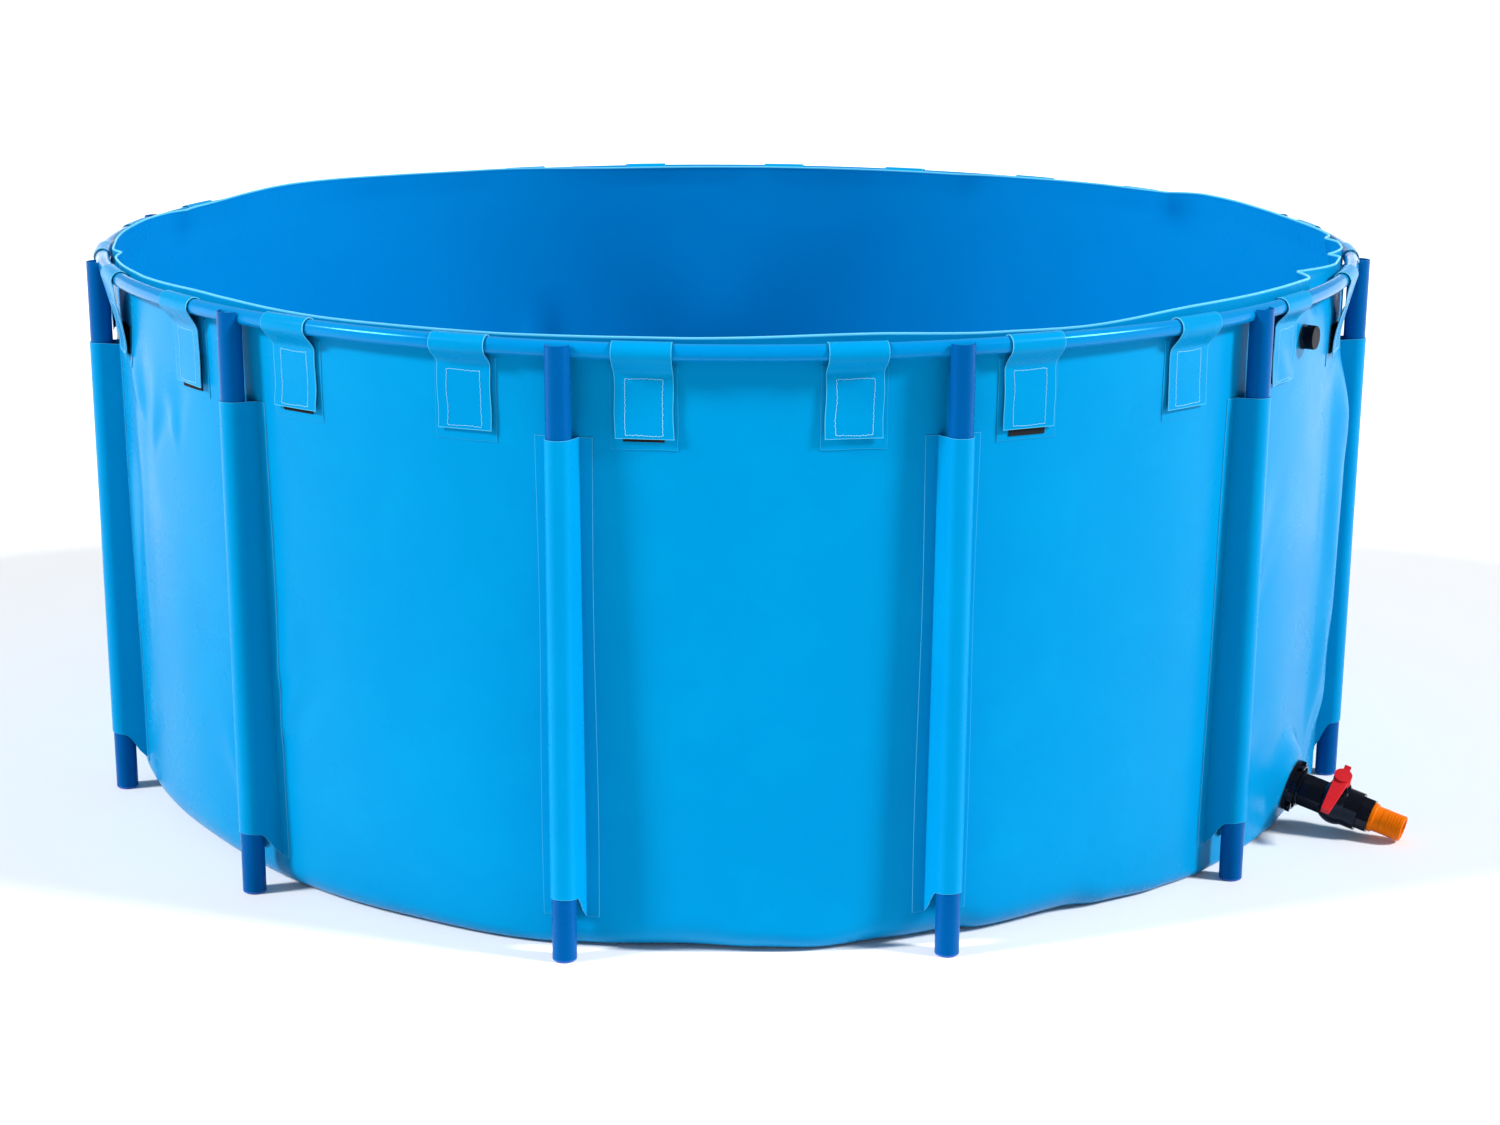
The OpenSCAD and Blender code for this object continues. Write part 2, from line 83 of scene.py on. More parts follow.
# ---- sizes that the CAD model has too ----
JOINTS = {joint["name"]: joint for joint in frame["joints"]}
FIRST_HINGE = JOINTS["strap_01_peel"]["pos_m"]
RING_R = math.hypot(FIRST_HINGE[0], FIRST_HINGE[1])
RING_Z = FIRST_HINGE[2]
RING_TUBE_R = 11 * MM
RING_BORE_R = 0.89 * RING_TUBE_R
RING_PIECES = 6
RING_JOINT_GAP = 0.5 * MM
POST_COUNT = 12
POST_CIRCLE_R = 1.0
POST_R = 16.75 * MM
POST_WALL = 1.5 * MM
POST_TOP = 840 * MM
SADDLE_R = 11.25 * MM
FOOT_T = 3 * MM
WALL_FOOT_R = 965 * MM
WALL_RIM_R = 976.6 * MM
WALL_RIM_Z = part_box("liner_wall")[1].z
WALL_FOOT_Z = 40 * MM
CLOTH_T = 1.5 * MM
EDGE_STRIP = 1.1 * MM
STRAP_COUNT = 24
STRAP_W = 77 * MM
STRAP_T = 1.2 * MM
STRAP_END_Z = 717 * MM
FLAP_LAND_Z = 797 * MM
FLAP_R = 14.1 * MM
FLAP_LIFT = 4.9 * MM
PATCH_W = 88 * MM
PATCH_T = 1.0 * MM
PAD_W = 54 * MM
PAD_T = 1.5 * MM
HOOK_H = 71 * MM
SLEEVE_TOP_Z = 717 * MM
SLEEVE_FOOT_Z = 90 * MM
SLEEVE_FLANGE_Z = 50 * MM
SLEEVE_T = 1.2 * MM
SLEEVE_GAP = 0.4 * MM
SLEEVE_HALF_W = 21 * MM
SLEEVE_FLANGE_W = 76 * MM
DRAIN_BEARING = math.radians(60)
DRAIN_Z = 67 * MM
DRAIN_DROOP = math.radians(13.5)
BOSS_FACE = 13 * MM
BARREL_R = 28 * MM
OVERFLOW_BEARING = math.radians(56)
OVERFLOW_Z = 771 * MM
PORT_R = 13.4 * MM


# ---- small tools ----
def smooth(x):
    """0 up to x = 0, 1 from x = 1, and smooth in between."""
    x = np.clip(x, 0, 1)
    return x * x * (3 - 2 * x)


def polar(bearing, radius, height):
    """Points at bearings in radians, as an array with a last axis of three."""
    bearing, radius, height = np.broadcast_arrays(bearing, radius, height)
    return np.stack([radius * np.sin(bearing), -radius * np.cos(bearing), height], axis=-1)


def outward(bearing):
    """The unit vector away from the tank's axis."""
    return np.array([math.sin(bearing), -math.cos(bearing), 0.0])


def sideways(bearing):
    """The unit vector along the ring, towards larger bearings."""
    return np.array([math.cos(bearing), math.sin(bearing), 0.0])


def away(bearing, middle):
    """Signed angle from a middle bearing, in radians."""
    return (np.asarray(bearing) - middle + math.pi) % math.tau - math.pi


def around(bearing, knots):
    """A smooth value round the tank through (degrees, value) knots."""
    degrees, values = np.array(knots, float).T
    angles = np.radians(degrees)
    angles = np.concatenate([angles[-1:] - math.tau, angles, angles[:1] + math.tau])
    values = np.concatenate([values[-1:], values, values[:1]])
    turned = away(bearing, 0.0)
    at = np.clip(np.searchsorted(angles, turned, side="right") - 1, 0, len(angles) - 2)
    share = (turned - angles[at]) / (angles[at + 1] - angles[at])
    return values[at] + (values[at + 1] - values[at]) * smooth(share)


def ripple(bearing, height, waves):
    """A sum of slow waves (size, waves round the tank, waves up per metre, phase)."""
    total = 0.0
    for size, turns, climb, phase in waves:
        total = total + size * np.sin(turns * bearing + climb * math.tau * height + phase)
    return total


def run_length(points, axis):
    """How far along the cloth each point of a grid lies, counted along one of the grid's axes."""
    steps = np.diff(points, axis=axis, prepend=points.take([0], axis=axis))
    return np.cumsum(np.linalg.norm(steps, axis=-1), axis=axis)


def grid_normals(points, wrap):
    """Unit normals of a grid of points, outwards for rows going up and columns along the bearing."""
    up = np.gradient(points, axis=0)
    if wrap:
        along = np.roll(points, -1, axis=1) - np.roll(points, 1, axis=1)
    else:
        along = np.gradient(points, axis=1)
    normal = np.cross(along, up)
    return normal / np.maximum(np.linalg.norm(normal, axis=2, keepdims=True), 1e-12)


def add_mesh(name, points, faces, sharp_degrees=35, uv=None, edge=None, inner=None):
    """A mesh object from arrays, smooth but for edges sharper than sharp_degrees.
    uv is a point's place on the flat cloth in metres, and edge is 1 on a cut edge."""
    used, faces_at = np.unique(np.concatenate([np.ravel(f) for f in faces]), return_inverse=True)
    sizes = [len(f) for f in faces]
    ends = np.cumsum(sizes)
    mesh = bpy.data.meshes.new(name)
    mesh.from_pydata(points[used].tolist(), [],
                     [faces_at[end - size:end].tolist() for size, end in zip(sizes, ends)])
    if uv is not None:
        layer = mesh.uv_layers.new(name="flat_cloth")
        corner_points = np.zeros(len(mesh.loops), np.int32)
        mesh.loops.foreach_get("vertex_index", corner_points)
        layer.data.foreach_set("uv", uv[used][corner_points].astype(np.float32).ravel())
    for label, values in (("edge", edge), ("inner", inner)):
        if values is not None:
            attribute = mesh.attributes.new(label, "FLOAT", "POINT")
            attribute.data.foreach_set("value", values[used].astype(np.float32))
    mesh.shade_smooth()
    mesh.set_sharp_from_angle(angle=math.radians(sharp_degrees))
    mesh.validate()
    made = bpy.data.objects.new(name, mesh)
    bpy.context.scene.collection.objects.link(made)
    return made


def grid_quads(index):
    """Quads between the neighbours in a grid of point numbers."""
    quads = np.stack([index[:-1, :-1], index[:-1, 1:], index[1:, 1:], index[1:, :-1]], axis=-1)
    return quads.reshape(-1, 4)


def sheet_faces(rows, cols, wrap=False, keep=None):
    """Quads of a closed sheet: a front grid, a back grid whose points follow the front's, and the
    rim between them, round the holes too. keep says which cells are there."""
    count = rows * cols
    index = np.arange(count).reshape(rows, cols)
    if wrap:
        index = np.concatenate([index, index[:, :1]], axis=1)
    quads = grid_quads(index)
    if keep is not None:
        quads = quads[keep.ravel()]
    sides = np.concatenate([quads[:, [k, (k + 1) % 4]] for k in range(4)])
    forward = sides[:, 0] * count + sides[:, 1]
    backward = sides[:, 1] * count + sides[:, 0]
    rim = sides[~np.isin(forward, backward)]
    rim = np.stack([rim[:, 1], rim[:, 0], rim[:, 0] + count, rim[:, 1] + count], axis=-1)
    return np.concatenate([quads, quads[:, ::-1] + count, rim])


def cloth_sheet(name, middle, thickness, wrap=False, keep=None, uv=None, edge=None, inner=False):
    """A closed sheet of a thickness, which may vary by row, about a grid of middle points.
    inner marks the back's points, which the cloth material colours darker: painted shade for the inside of the
    tank."""
    rows, cols = middle.shape[:2]
    offset = grid_normals(middle, wrap) * (np.asarray(thickness) / 2)
    points = np.concatenate([(middle + offset).reshape(-1, 3), (middle - offset).reshape(-1, 3)])
    double = lambda values: None if values is None else np.concatenate([values, values])
    flat = None if uv is None else double(uv.reshape(-1, 2))
    rim = None if edge is None else double(edge.ravel())
    back = np.repeat([0.0, 1.0], rows * cols) if inner else None
    return add_mesh(name, points, sheet_faces(rows, cols, wrap, keep), uv=flat, edge=rim, inner=back)


def border(rows, cols):
    """1 on the outline of a grid and 0 inside it."""
    edge = np.ones((rows, cols))
    edge[1:-1, 1:-1] = 0
    return edge


def spaced_with_border(length, inner_count, strip):
    """Places from 0 to length, with a narrow strip at both ends."""
    return np.concatenate([[0], np.linspace(strip, length - strip, inner_count), [length]])


def ring_quads(count, sides, closed=False):
    """Quads between rings of points, where each ring has as many points as sides."""
    faces = []
    for i in range(count if closed else count - 1):
        for j in range(sides):
            k, m = (i + 1) % count, (j + 1) % sides
            faces.append([i * sides + j, i * sides + m, k * sides + m, k * sides + j])
    return faces


def capped_rings(count, sides):
    """The faces between rings of points, with a cap at both ends."""
    last = (count - 1) * sides
    return ring_quads(count, sides) + [list(range(sides))[::-1], list(range(last, last + sides))]


def lathe(name, profile, sides, place, closed=False):
    """A turned mesh about an axis: profile is (radius, height) points, place puts it in the frame."""
    turn = np.linspace(0, math.tau, sides, endpoint=False)
    radius, height = np.array(profile).T[:, :, None]
    local = np.broadcast_arrays(radius * np.cos(turn), radius * np.sin(turn), height, 1.0)
    points = np.stack(local, axis=-1).reshape(-1, 4) @ np.array(place).T
    count = len(profile)
    faces = ring_quads(count, sides, True) if closed else capped_rings(count, sides)
    return add_mesh(name, points[:, :3], faces)


# ---- the wall's shape ----
# Height of the rim in mm by bearing in degrees
RIM_HEIGHTS = (
    (-170, 841), (-153, 847), (-128, 854), (-112, 845), (-97, 849), (-80, 847), (-62, 848),
    (-51, 851), (-36, 846), (-22, 846), (-6, 849), (8, 853), (18, 848), (26, 846), (38, 855),
    (52, 856), (70, 852), (99, 849), (116, 855), (126, 847), (157, 842),
)
# Radius in mm, by bearing, of the rounded corner, which creeps in and out along the ground
CORNER_RADII = (
    (-170, 45), (-140, 58), (-110, 36), (-80, 50), (-58, 62), (-44, 40), (-32, 35), (-18, 24),
    (-14, 32), (-5, 50), (0, 40), (5, 30), (11, 48), (17, 61), (19.5, 45), (28, 58), (32, 40),
    (38, 26), (44, 14), (63, 14), (90, 16), (104, 46), (130, 58), (155, 38),
)
# Inward folds of the free rim: bearing, depth in mm, and how wide each side is, in degrees
RIM_FOLDS = ((60.4, 36, 3.6, 7.0), (73.2, 20, 1.5, 5.0), (84.6, 14, 2.6, 2.2), (-77.6, 13, 2.2, 3.6),
             (-108.0, 8, 3.0, 3.0), (121.0, 16, 5.0, 4.0), (150.0, 6, 4.0, 6.0))
FOLD_DEPTH = 86 * MM
WALL_WAVES = ((0.9 * MM, 7, 0.5, 0.4), (0.6 * MM, 13, -0.9, 1.9), (0.35 * MM, 29, 1.4, 3.1))
RIM_WAVES = ((1.0 * MM, 9, 0.0, 0.7), (0.8 * MM, 17, 0.0, 2.2), (0.4 * MM, 41, 0.0, 4.0))
FOOT_WAVES = ((1.4 * MM, 11, 0, 0.3), (1.2 * MM, 19, 0, 2.0))
# Where the foot of the wall bellies out: bearing, reach to both sides, and how far in mm
BELLIES = ((79, 13, 12), (-160, 14, 6), (-72, 10, 4))
# Standing folds beside tight sleeves: bearing, reach to both sides, size in mm, low and high end
RIDGES = ((70.6, 2.3, 17, 0.10, 0.60), (-160.5, 2.0, 7, 0.15, 0.5), (-107.0, 1.8, 6, 0.2, 0.55))
# Creases that the tight sleeves pull into the wall: bearing, height, length, depth in mm, slant
CREASES = (
    (72.0, 0.50, 0.52, 3.4, -0.02), (-66.5, 0.50, 0.4, 1.6, 0.06), (-41.5, 0.30, 0.16, 1.6, 0.35),
    (-42.0, 0.36, 0.13, 1.3, 0.42), (-48.4, 0.13, 0.15, 2.2, -0.45), (-50.0, 0.19, 0.12, 1.3, -0.35),
    (-71.5, 0.42, 0.30, 2.4, 0.12), (-70.0, 0.14, 0.12, 2.0, 0.5), (48.5, 0.47, 0.20, 2.4, 0.32),
    (49.6, 0.42, 0.16, 1.8, 0.36), (48.6, 0.14, 0.14, 2.4, 0.5), (70.5, 0.40, 0.34, 3.0, -0.06),
    (68.0, 0.20, 0.22, 2.4, 0.14), (71.5, 0.62, 0.14, 2.0, 0.05), (-65.5, 0.68, 0.10, 2.6, -0.5),
    (-61.0, 0.66, 0.13, 2.8, 0.35), (-57.5, 0.67, 0.10, 2.0, -0.2), (104.0, 0.35, 0.2, 2.0, 0.3),
    (135.5, 0.2, 0.16, 2.0, -0.4), (-103.0, 0.2, 0.18, 2.2, 0.4), (-136.0, 0.45, 0.2, 1.6, 0.2),
    (163.0, 0.3, 0.2, 1.4, 0.3), (109.0, 0.12, 0.12, 1.8, -0.5),
)
CREASE_GAIN = 1.5
# How far round the drain the wall is pulled flat, and how wide that fades out
BOSS_R, BOSS_FADE = 43 * MM, 42 * MM
LAP_W = 24 * MM
HEM_THICKNESS = (1.7, 2.6, 3.0, 2.5, 1.2)
# How pale the floor's edge and the painted highlight line along the wall's foot show, where a cut edge is 1
FOOT_PAINTED_HIGHLIGHT, FLOOR_EDGE = 0.55, 0.5


def foot_radius(bearing):
    """Radius of the wall's outer face where it would meet the ground."""
    total = WALL_FOOT_R + ripple(bearing, 0.0, FOOT_WAVES)
    for middle, reach, belly in BELLIES:
        gap = np.degrees(away(bearing, math.radians(middle)))
        total = total + belly * MM * np.exp(-((gap / reach) ** 4))
    return total


def corner_radius(bearing):
    """How much the wall's foot is rounded into the floor."""
    return around(bearing, CORNER_RADII) * MM


def rim_height(bearing):
    """Height of the wall's free edge, which waves."""
    return around(bearing, RIM_HEIGHTS) * MM


def fold_in(bearing, height):
    """How far the free rim is pushed in at its folds."""
    total = np.zeros(np.broadcast(bearing, height).shape)
    rise = smooth((height - (WALL_RIM_Z - FOLD_DEPTH)) / FOLD_DEPTH) ** 1.5
    for middle, depth, before, after in RIM_FOLDS:
        gap = np.degrees(away(bearing, math.radians(middle)))
        reach = np.where(gap < 0, before, after)
        total = total + depth * MM * np.clip(1 - np.abs(gap) / reach, 0, 1) ** 1.4 * rise
    return total


def creases(bearing, height):
    """How far the standing folds and the creases push the wall out."""
    total = np.zeros(np.broadcast(bearing, height).shape)
    for middle, reach, size, low, high in RIDGES:
        gap = np.degrees(away(bearing, math.radians(middle))) + 0.5 * np.sin(9 * height)
        shape = np.exp(-np.abs(gap / reach) ** 2.6)
        ends = smooth((height - low + 0.06) / 0.12) * (1 - smooth((height - high) / 0.12))
        total = total + size * MM * shape * ends
    for middle, level, length, depth, slant in CREASES:
        side = away(bearing, math.radians(middle)) * WALL_FOOT_R
        rise = height - level
        along = rise * math.cos(slant) + side * math.sin(slant)
        across = side * math.cos(slant) - rise * math.sin(slant)
        fade = np.exp(-(along / (length / 2)) ** 4)
        width = (7 + 26 * np.clip(0.5 + along / length, 0, 1)) * MM
        shape = np.exp(-(across / width) ** 2) - 0.6 * np.exp(-((across - 1.6 * width) / width) ** 2)
        total = total + CREASE_GAIN * depth * MM * fade * shape
    return total


def wall_radius(bearing, height):
    """Radius of the wall's outer face, above its rounded corner."""
    foot = foot_radius(bearing)
    share = np.clip((height - WALL_FOOT_Z) / (WALL_RIM_Z - WALL_FOOT_Z), -0.05, 1.1)
    base = foot + (WALL_RIM_R - foot) * share
    free = smooth(np.asarray(height) / 0.2) * (1 - smooth((height - 0.70) / 0.08))
    waves = ripple(bearing, height, WALL_WAVES) * free
    rim = smooth((height - 0.80) / 0.05)
    lean = -(1.6 * MM + 1.2 * MM * np.sin(12 * bearing) + np.abs(ripple(bearing, 0, RIM_WAVES))) * rim
    return base + waves + lean - fold_in(bearing, height) + creases(bearing, height) * free


def drain_frame():
    """(origin, axis) of the drain, from where it leaves the wall."""
    axis = math.cos(DRAIN_DROOP) * outward(DRAIN_BEARING) - math.sin(DRAIN_DROOP) * UP
    return WALL_FOOT_R * outward(DRAIN_BEARING) + DRAIN_Z * UP, axis


def pull_out_boss(points):
    """Moves the wall's outer face to the flat that the hanging valve pulls out of it."""
    origin, axis = drain_frame()
    offset = points - origin
    along = offset @ axis
    radius = np.linalg.norm(offset - along[..., None] * axis, axis=-1)
    near = np.linalg.norm(offset, axis=-1) < 0.2
    share = np.where(near, 1 - smooth((radius - BOSS_R) / BOSS_FADE), 0)
    return points + ((BOSS_FACE - along) * share)[..., None] * axis


def on_wall(bearing, height, lift=0.0):
    """Points standing off the wall's outer face."""
    return polar(bearing, wall_radius(bearing, height) + lift, height)


def hole_keep(points, centre, axis, radius):
    """Which cells of a grid lie clear of a round hole."""
    cells = (points[:-1, :-1] + points[1:, 1:]) / 2 - centre
    across = cells - (cells @ axis)[..., None] * axis
    return (np.linalg.norm(across, axis=-1) > radius) | (np.linalg.norm(cells, axis=-1) > 0.1)


def wall_bearings():
    """Columns round the wall, closer together at the drain, the overflow port and the folds."""
    spans = ((-180, 180, 0.5), (54.5, 57.6, 0.125), (57, 69, 0.25), (71, 80, 0.25))
    degrees = np.concatenate([np.arange(*span) for span in spans])
    return np.unique(np.round(np.radians(degrees), 6))


def liner_wall():
    """The wall's sheet, from its lap under the floor up to its thicker hemmed rim."""
    bearing = wall_bearings()[None, :]
    corner, foot = corner_radius(bearing), foot_radius(bearing)
    rim = rim_height(bearing)
    lap = np.linspace(-LAP_W, 0, 4)[:, None]
    floor_rows = polar(bearing, foot - corner + lap, 0 * lap + CLOTH_T * 0.02)
    turn = np.radians(np.linspace(0, 90, 12))[1:, None]
    corner_rows = polar(bearing, foot - corner + corner * np.sin(turn), corner * (1 - np.cos(turn)))
    spans = ((0, 0.09, 16), (0.09, 0.86, 56), (0.86, 0.96, 40), (0.96, 0.992, 8))
    climb = [np.linspace(*span)[1:] for span in spans] + [[0.9955, 0.998, 0.9993, 1.0]]
    height = corner + (rim - corner) * np.concatenate(climb)[:, None]
    wall_rows = pull_out_boss(on_wall(bearing, height))
    outer = np.concatenate([floor_rows, corner_rows, wall_rows])
    middle = outer - grid_normals(outer, True) * (CLOTH_T / 2)
    thickness = np.full((len(outer), 1, 1), CLOTH_T)
    thickness[-5:, 0, 0] = np.array(HEM_THICKNESS) * MM
    origin, axis = drain_frame()
    port = outward(OVERFLOW_BEARING)
    port_centre = on_wall(OVERFLOW_BEARING, OVERFLOW_Z)
    closed = np.concatenate([middle, middle[:, :1]], axis=1)
    keep = hole_keep(closed, origin + BOSS_FACE * axis, axis, BARREL_R + 1.5 * MM)
    keep &= hole_keep(closed, port_centre, port, PORT_R + 0.8 * MM)
    edge = np.zeros(middle.shape[:2])
    edge[-3:] = 1
    # Painted highlight: a pale line along the bend of the wall's foot
    edge[5] = FOOT_PAINTED_HIGHLIGHT
    climbed = run_length(middle, 0)
    uv = np.stack([np.broadcast_to(bearing * WALL_FOOT_R, climbed.shape), climbed], axis=-1)
    wall = cloth_sheet("tank_wall", middle, thickness, wrap=True, keep=keep, uv=uv, edge=edge, inner=True)
    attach(wall, ROOT)
    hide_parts("liner_wall")
    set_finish(wall, "tarpaulin")
    return wall


def liner_floor():
    """The floor's sheet, laid on the wall's welded lap, with a few soft wrinkles."""
    bearing = np.radians(np.arange(-180, 180, 1.5))[None, :]
    share = np.concatenate([np.linspace(1, 0.01, 60), [0.0003]])[:, None]
    radius = (foot_radius(bearing) - corner_radius(bearing) + 4 * MM) * share
    x, y = radius * np.sin(bearing), -radius * np.cos(bearing)
    swell = np.sin(9 * x + 2.5 * np.sin(3 * y + 1)) * np.sin(7 * y + 2.1 * np.sin(4 * x)) ** 3
    swell = np.abs(swell) * smooth((1 - share) / 0.08) * 5 * MM
    lift = CLOTH_T * 1.5 + swell + 0.3 * MM
    middle = polar(bearing, radius, lift)
    uv = np.stack([x, y], axis=-1)
    edge = np.zeros(middle.shape[:2])
    edge[0] = FLOOR_EDGE
    floor = cloth_sheet("tank_floor", middle, CLOTH_T, wrap=True, uv=uv, edge=edge, inner=True)
    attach(floor, ROOT)
    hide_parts("liner_floor")
    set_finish(floor, "tarpaulin")
    return floor


# ---- sleeves ----
def sleeve_section(depth, flange_in, flange_half):
    """(sideways, outwards from the post's centre, share of the foot's swoop) down one side of a
    sleeve's loop and back up the other. depth is the distance from the post's centre to the wall."""
    loop_r = POST_R + SLEEVE_GAP + SLEEVE_T / 2
    reach = math.hypot(flange_in, depth)
    touch = math.atan2(-depth, flange_in) + math.acos(loop_r / reach)
    flange = np.concatenate([[flange_half, flange_half - 1.2 * MM],
                             np.linspace(flange_half - 6 * MM, flange_in + 1.5 * MM, 4)])
    right = [(x, -depth, 0.0) for x in flange]
    tangent = (loop_r * math.cos(touch), loop_r * math.sin(touch))
    for share in np.linspace(0.06, 1, 8):
        right.append((flange_in + (tangent[0] - flange_in) * share,
                      -depth + (tangent[1] + depth) * share, share))
    arc = np.linspace(touch, math.pi - touch, 30)[1:-1]
    loop = [(loop_r * math.cos(a), loop_r * math.sin(a), 1 + math.sin(a)) for a in arc]
    left = [(-x, y, s) for x, y, s in right[::-1]]
    return np.array(right + loop + left)[::-1]


def post_sleeve(i, bearing):
    """A sleeve's sheet: a flange on the wall, a loop round the post, and the other flange."""
    rows = spaced_with_border(1.0, 44, 0.0018)
    wander = 1.2 * MM * np.sin(2.3 * i + np.linspace(0, 7, len(rows)))
    points = []
    for row, share in enumerate(rows):
        height = SLEEVE_FOOT_Z + (SLEEVE_TOP_Z - SLEEVE_FOOT_Z) * share
        wall = float(wall_radius(bearing, height))
        depth = POST_CIRCLE_R - wall - SLEEVE_T / 2
        section = sleeve_section(depth, SLEEVE_HALF_W, SLEEVE_FLANGE_W / 2 + wander[row])
        swoop = np.clip(section[:, 2], 0, 1)
        foot = SLEEVE_FLANGE_Z + (SLEEVE_FOOT_Z - SLEEVE_FLANGE_Z) * smooth(swoop) ** 0.8
        foot = foot + 2.5 * MM * (section[:, 2] - 1).clip(0, 1) + 1.5 * MM * math.sin(5 * i)
        top = SLEEVE_TOP_Z + 1.2 * MM * math.sin(3 * i + 1) - 2.0 * MM * (1 - swoop)
        level = foot + (top - foot) * share
        turned = bearing + section[:, 0] / wall
        flange = polar(turned, wall_radius(turned, level) + SLEEVE_T / 2 + 0.1 * MM, level)
        x, y = section[:, :1], POST_CIRCLE_R + section[:, 1:2]
        loop = y * outward(bearing) + x * sideways(bearing)
        loop[:, 2] = level
        blend = smooth(section[:, 2:] / 0.3)
        points.append(flange * (1 - blend) + loop * blend)
    middle = np.array(points)
    arc = run_length(middle, 1)
    uv = np.stack([arc, middle[..., 2]], axis=-1)
    sleeve = cloth_sheet(f"post_sleeve_{i + 1:02d}", middle, SLEEVE_T, uv=uv,
                         edge=0.65 * border(*middle.shape[:2]))
    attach(sleeve, ROOT)
    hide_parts("post_sleeves")
    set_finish(sleeve, "tarpaulin")


# ---- tubes ----
def post_tube(i, bearing):
    """A post: a tube whose top is cut away on the inner side into a saddle for the ring."""
    ring_y = RING_R - POST_CIRCLE_R
    cut_y = ring_y + SADDLE_R
    turn = np.radians(np.arange(0, 360, 5.0))
    step = math.asin(cut_y / POST_R)
    turn = np.unique(np.concatenate([turn, [step - 1e-4, step + 1e-4,
                                            math.pi - step - 1e-4, math.pi - step + 1e-4]]))

    def top(y):
        cut = RING_Z - np.sqrt(np.clip(SADDLE_R**2 - (y - ring_y) ** 2, 0, None))
        return np.where(y > cut_y, POST_TOP, cut)

    outer, inner, soft = POST_R, POST_R - POST_WALL, 0.35 * MM
    top_at = top(outer * np.sin(turn))
    rows = [(outer, level) for level in [FOOT_T] + [0.1 + 0.08 * k for k in range(9)]]
    rows += [(outer, top_at - soft), (outer - soft, top_at), (inner + soft, top_at),
             (inner, top_at - soft), (inner, top_at - 60 * MM)]
    points = []
    for radius, height in rows:
        x, y = radius * np.cos(turn), POST_CIRCLE_R + radius * np.sin(turn)
        ring = y[:, None] * outward(bearing) - x[:, None] * sideways(bearing)
        ring[:, 2] = height
        points.append(ring)
    points = np.array(points)
    faces = capped_rings(*points.shape[:2])
    tube = add_mesh(f"post_tube_{i + 1:02d}", points.reshape(-1, 3), faces, sharp_degrees=40)
    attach(tube, ROOT)
    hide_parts(f"post_{i + 1:02d}")
    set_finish(tube, "blue_tube")


def post_foot(i, bearing):
    """The plug in a post's foot: a rim as wide as the tube, with a rounded lower edge."""
    edge = [(POST_R - 2 * MM + 2 * MM * math.sin(a), 2 * MM - 2 * MM * math.cos(a))
            for a in np.radians(np.linspace(0, 90, 8))]
    profile = [(POST_R * 0.3, 0.6 * MM), (POST_R * 0.55, 0.6 * MM), (POST_R * 0.6, 0.0)] + edge
    profile += [(POST_R, FOOT_T - 0.5 * MM), (POST_R - 0.3 * MM, FOOT_T), (POST_R - 2 * MM, FOOT_T),
                (POST_R - 2 * MM, 14 * MM)]
    place = Matrix.Translation(Vector(POST_CIRCLE_R * outward(bearing)))
    foot = lathe(f"post_foot_{i + 1:02d}", profile, 56, place)
    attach(foot, ROOT)
    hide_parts("foot_caps")
    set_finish(foot, "foot_plastic")


def ring_tube(i, start):
    """One of the ring's tubes, between joints that lie under straps."""
    gap = RING_JOINT_GAP / RING_R / 2
    bearing = np.linspace(start + gap, start + math.tau / RING_PIECES - gap, 97)
    turn = np.linspace(0, math.tau, 40, endpoint=False)[:, None]
    outer, inner = [polar(bearing, RING_R + r * np.cos(turn), RING_Z + r * np.sin(turn)).reshape(-1, 3)
                    for r in (RING_TUBE_R, RING_BORE_R)]
    sides, cols = len(turn), len(bearing)
    index = np.arange(sides * cols).reshape(sides, cols)
    index = np.concatenate([index, index[:1]], axis=0)
    quads = grid_quads(index)
    ends = [np.stack([index[:-1, c], index[1:, c], index[1:, c] + sides * cols,
                      index[:-1, c] + sides * cols], axis=-1) for c in (0, cols - 1)]
    ends[1] = ends[1][:, ::-1]
    faces = np.concatenate([quads, quads[:, ::-1] + sides * cols] + ends)
    tube = add_mesh(f"ring_tube_{i + 1}", np.concatenate([outer, inner]), faces, sharp_degrees=50)
    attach(tube, ROOT)
    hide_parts("ring_tubes")
    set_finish(tube, "blue_tube")


def hose_tail():
    """The orange tail: a collar against the valve's socket, and fine grooves that grip the hose."""
    outer = [(19.9, 131.0), (19.9, 144.2), (22.1, 144.2), (22.5, 144.6), (22.5, 149.6), (22.0, 150.3),
             (20.2, 150.9), (20.0, 152.0)]
    for groove in (161.0, 170.0, 174.6, 179.2, 183.8, 188.4):
        outer += [(19.75, groove - 0.9), (19.2, groove - 0.5), (19.2, groove + 0.1), (19.9, groove + 0.5)]
    outer += [(19.75, 194.0), (19.0, 195.0), (17.2, 195.0), (16.4, 194.2), (16.0, 190.0), (15.6, 131.0)]
    origin, axis = drain_frame()
    side = sideways(DRAIN_BEARING)
    place = np.eye(4)
    place[:3] = np.stack([side, np.cross(axis, side), axis, origin], axis=1)
    tail = lathe("hose_tail_grooved", [(r * MM, h * MM) for r, h in outer], 72, place, closed=True)
    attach(tail, ROOT)
    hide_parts("hose_tail")
    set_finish(tail, "orange_plastic")


# ---- straps ----
# The two outermost straps in the front view hang straight, and meet the wall only at this height
LOOSE = {20: 729 * MM, 5: 731 * MM}
# Where a web starts on the ring's inner side and leaves its outer side, in degrees from level
WRAP_FROM, WRAP_TO, LOOSE_WRAP_TO = 205, -34, -16
WRAP_TIGHTENS = 1.9 * MM
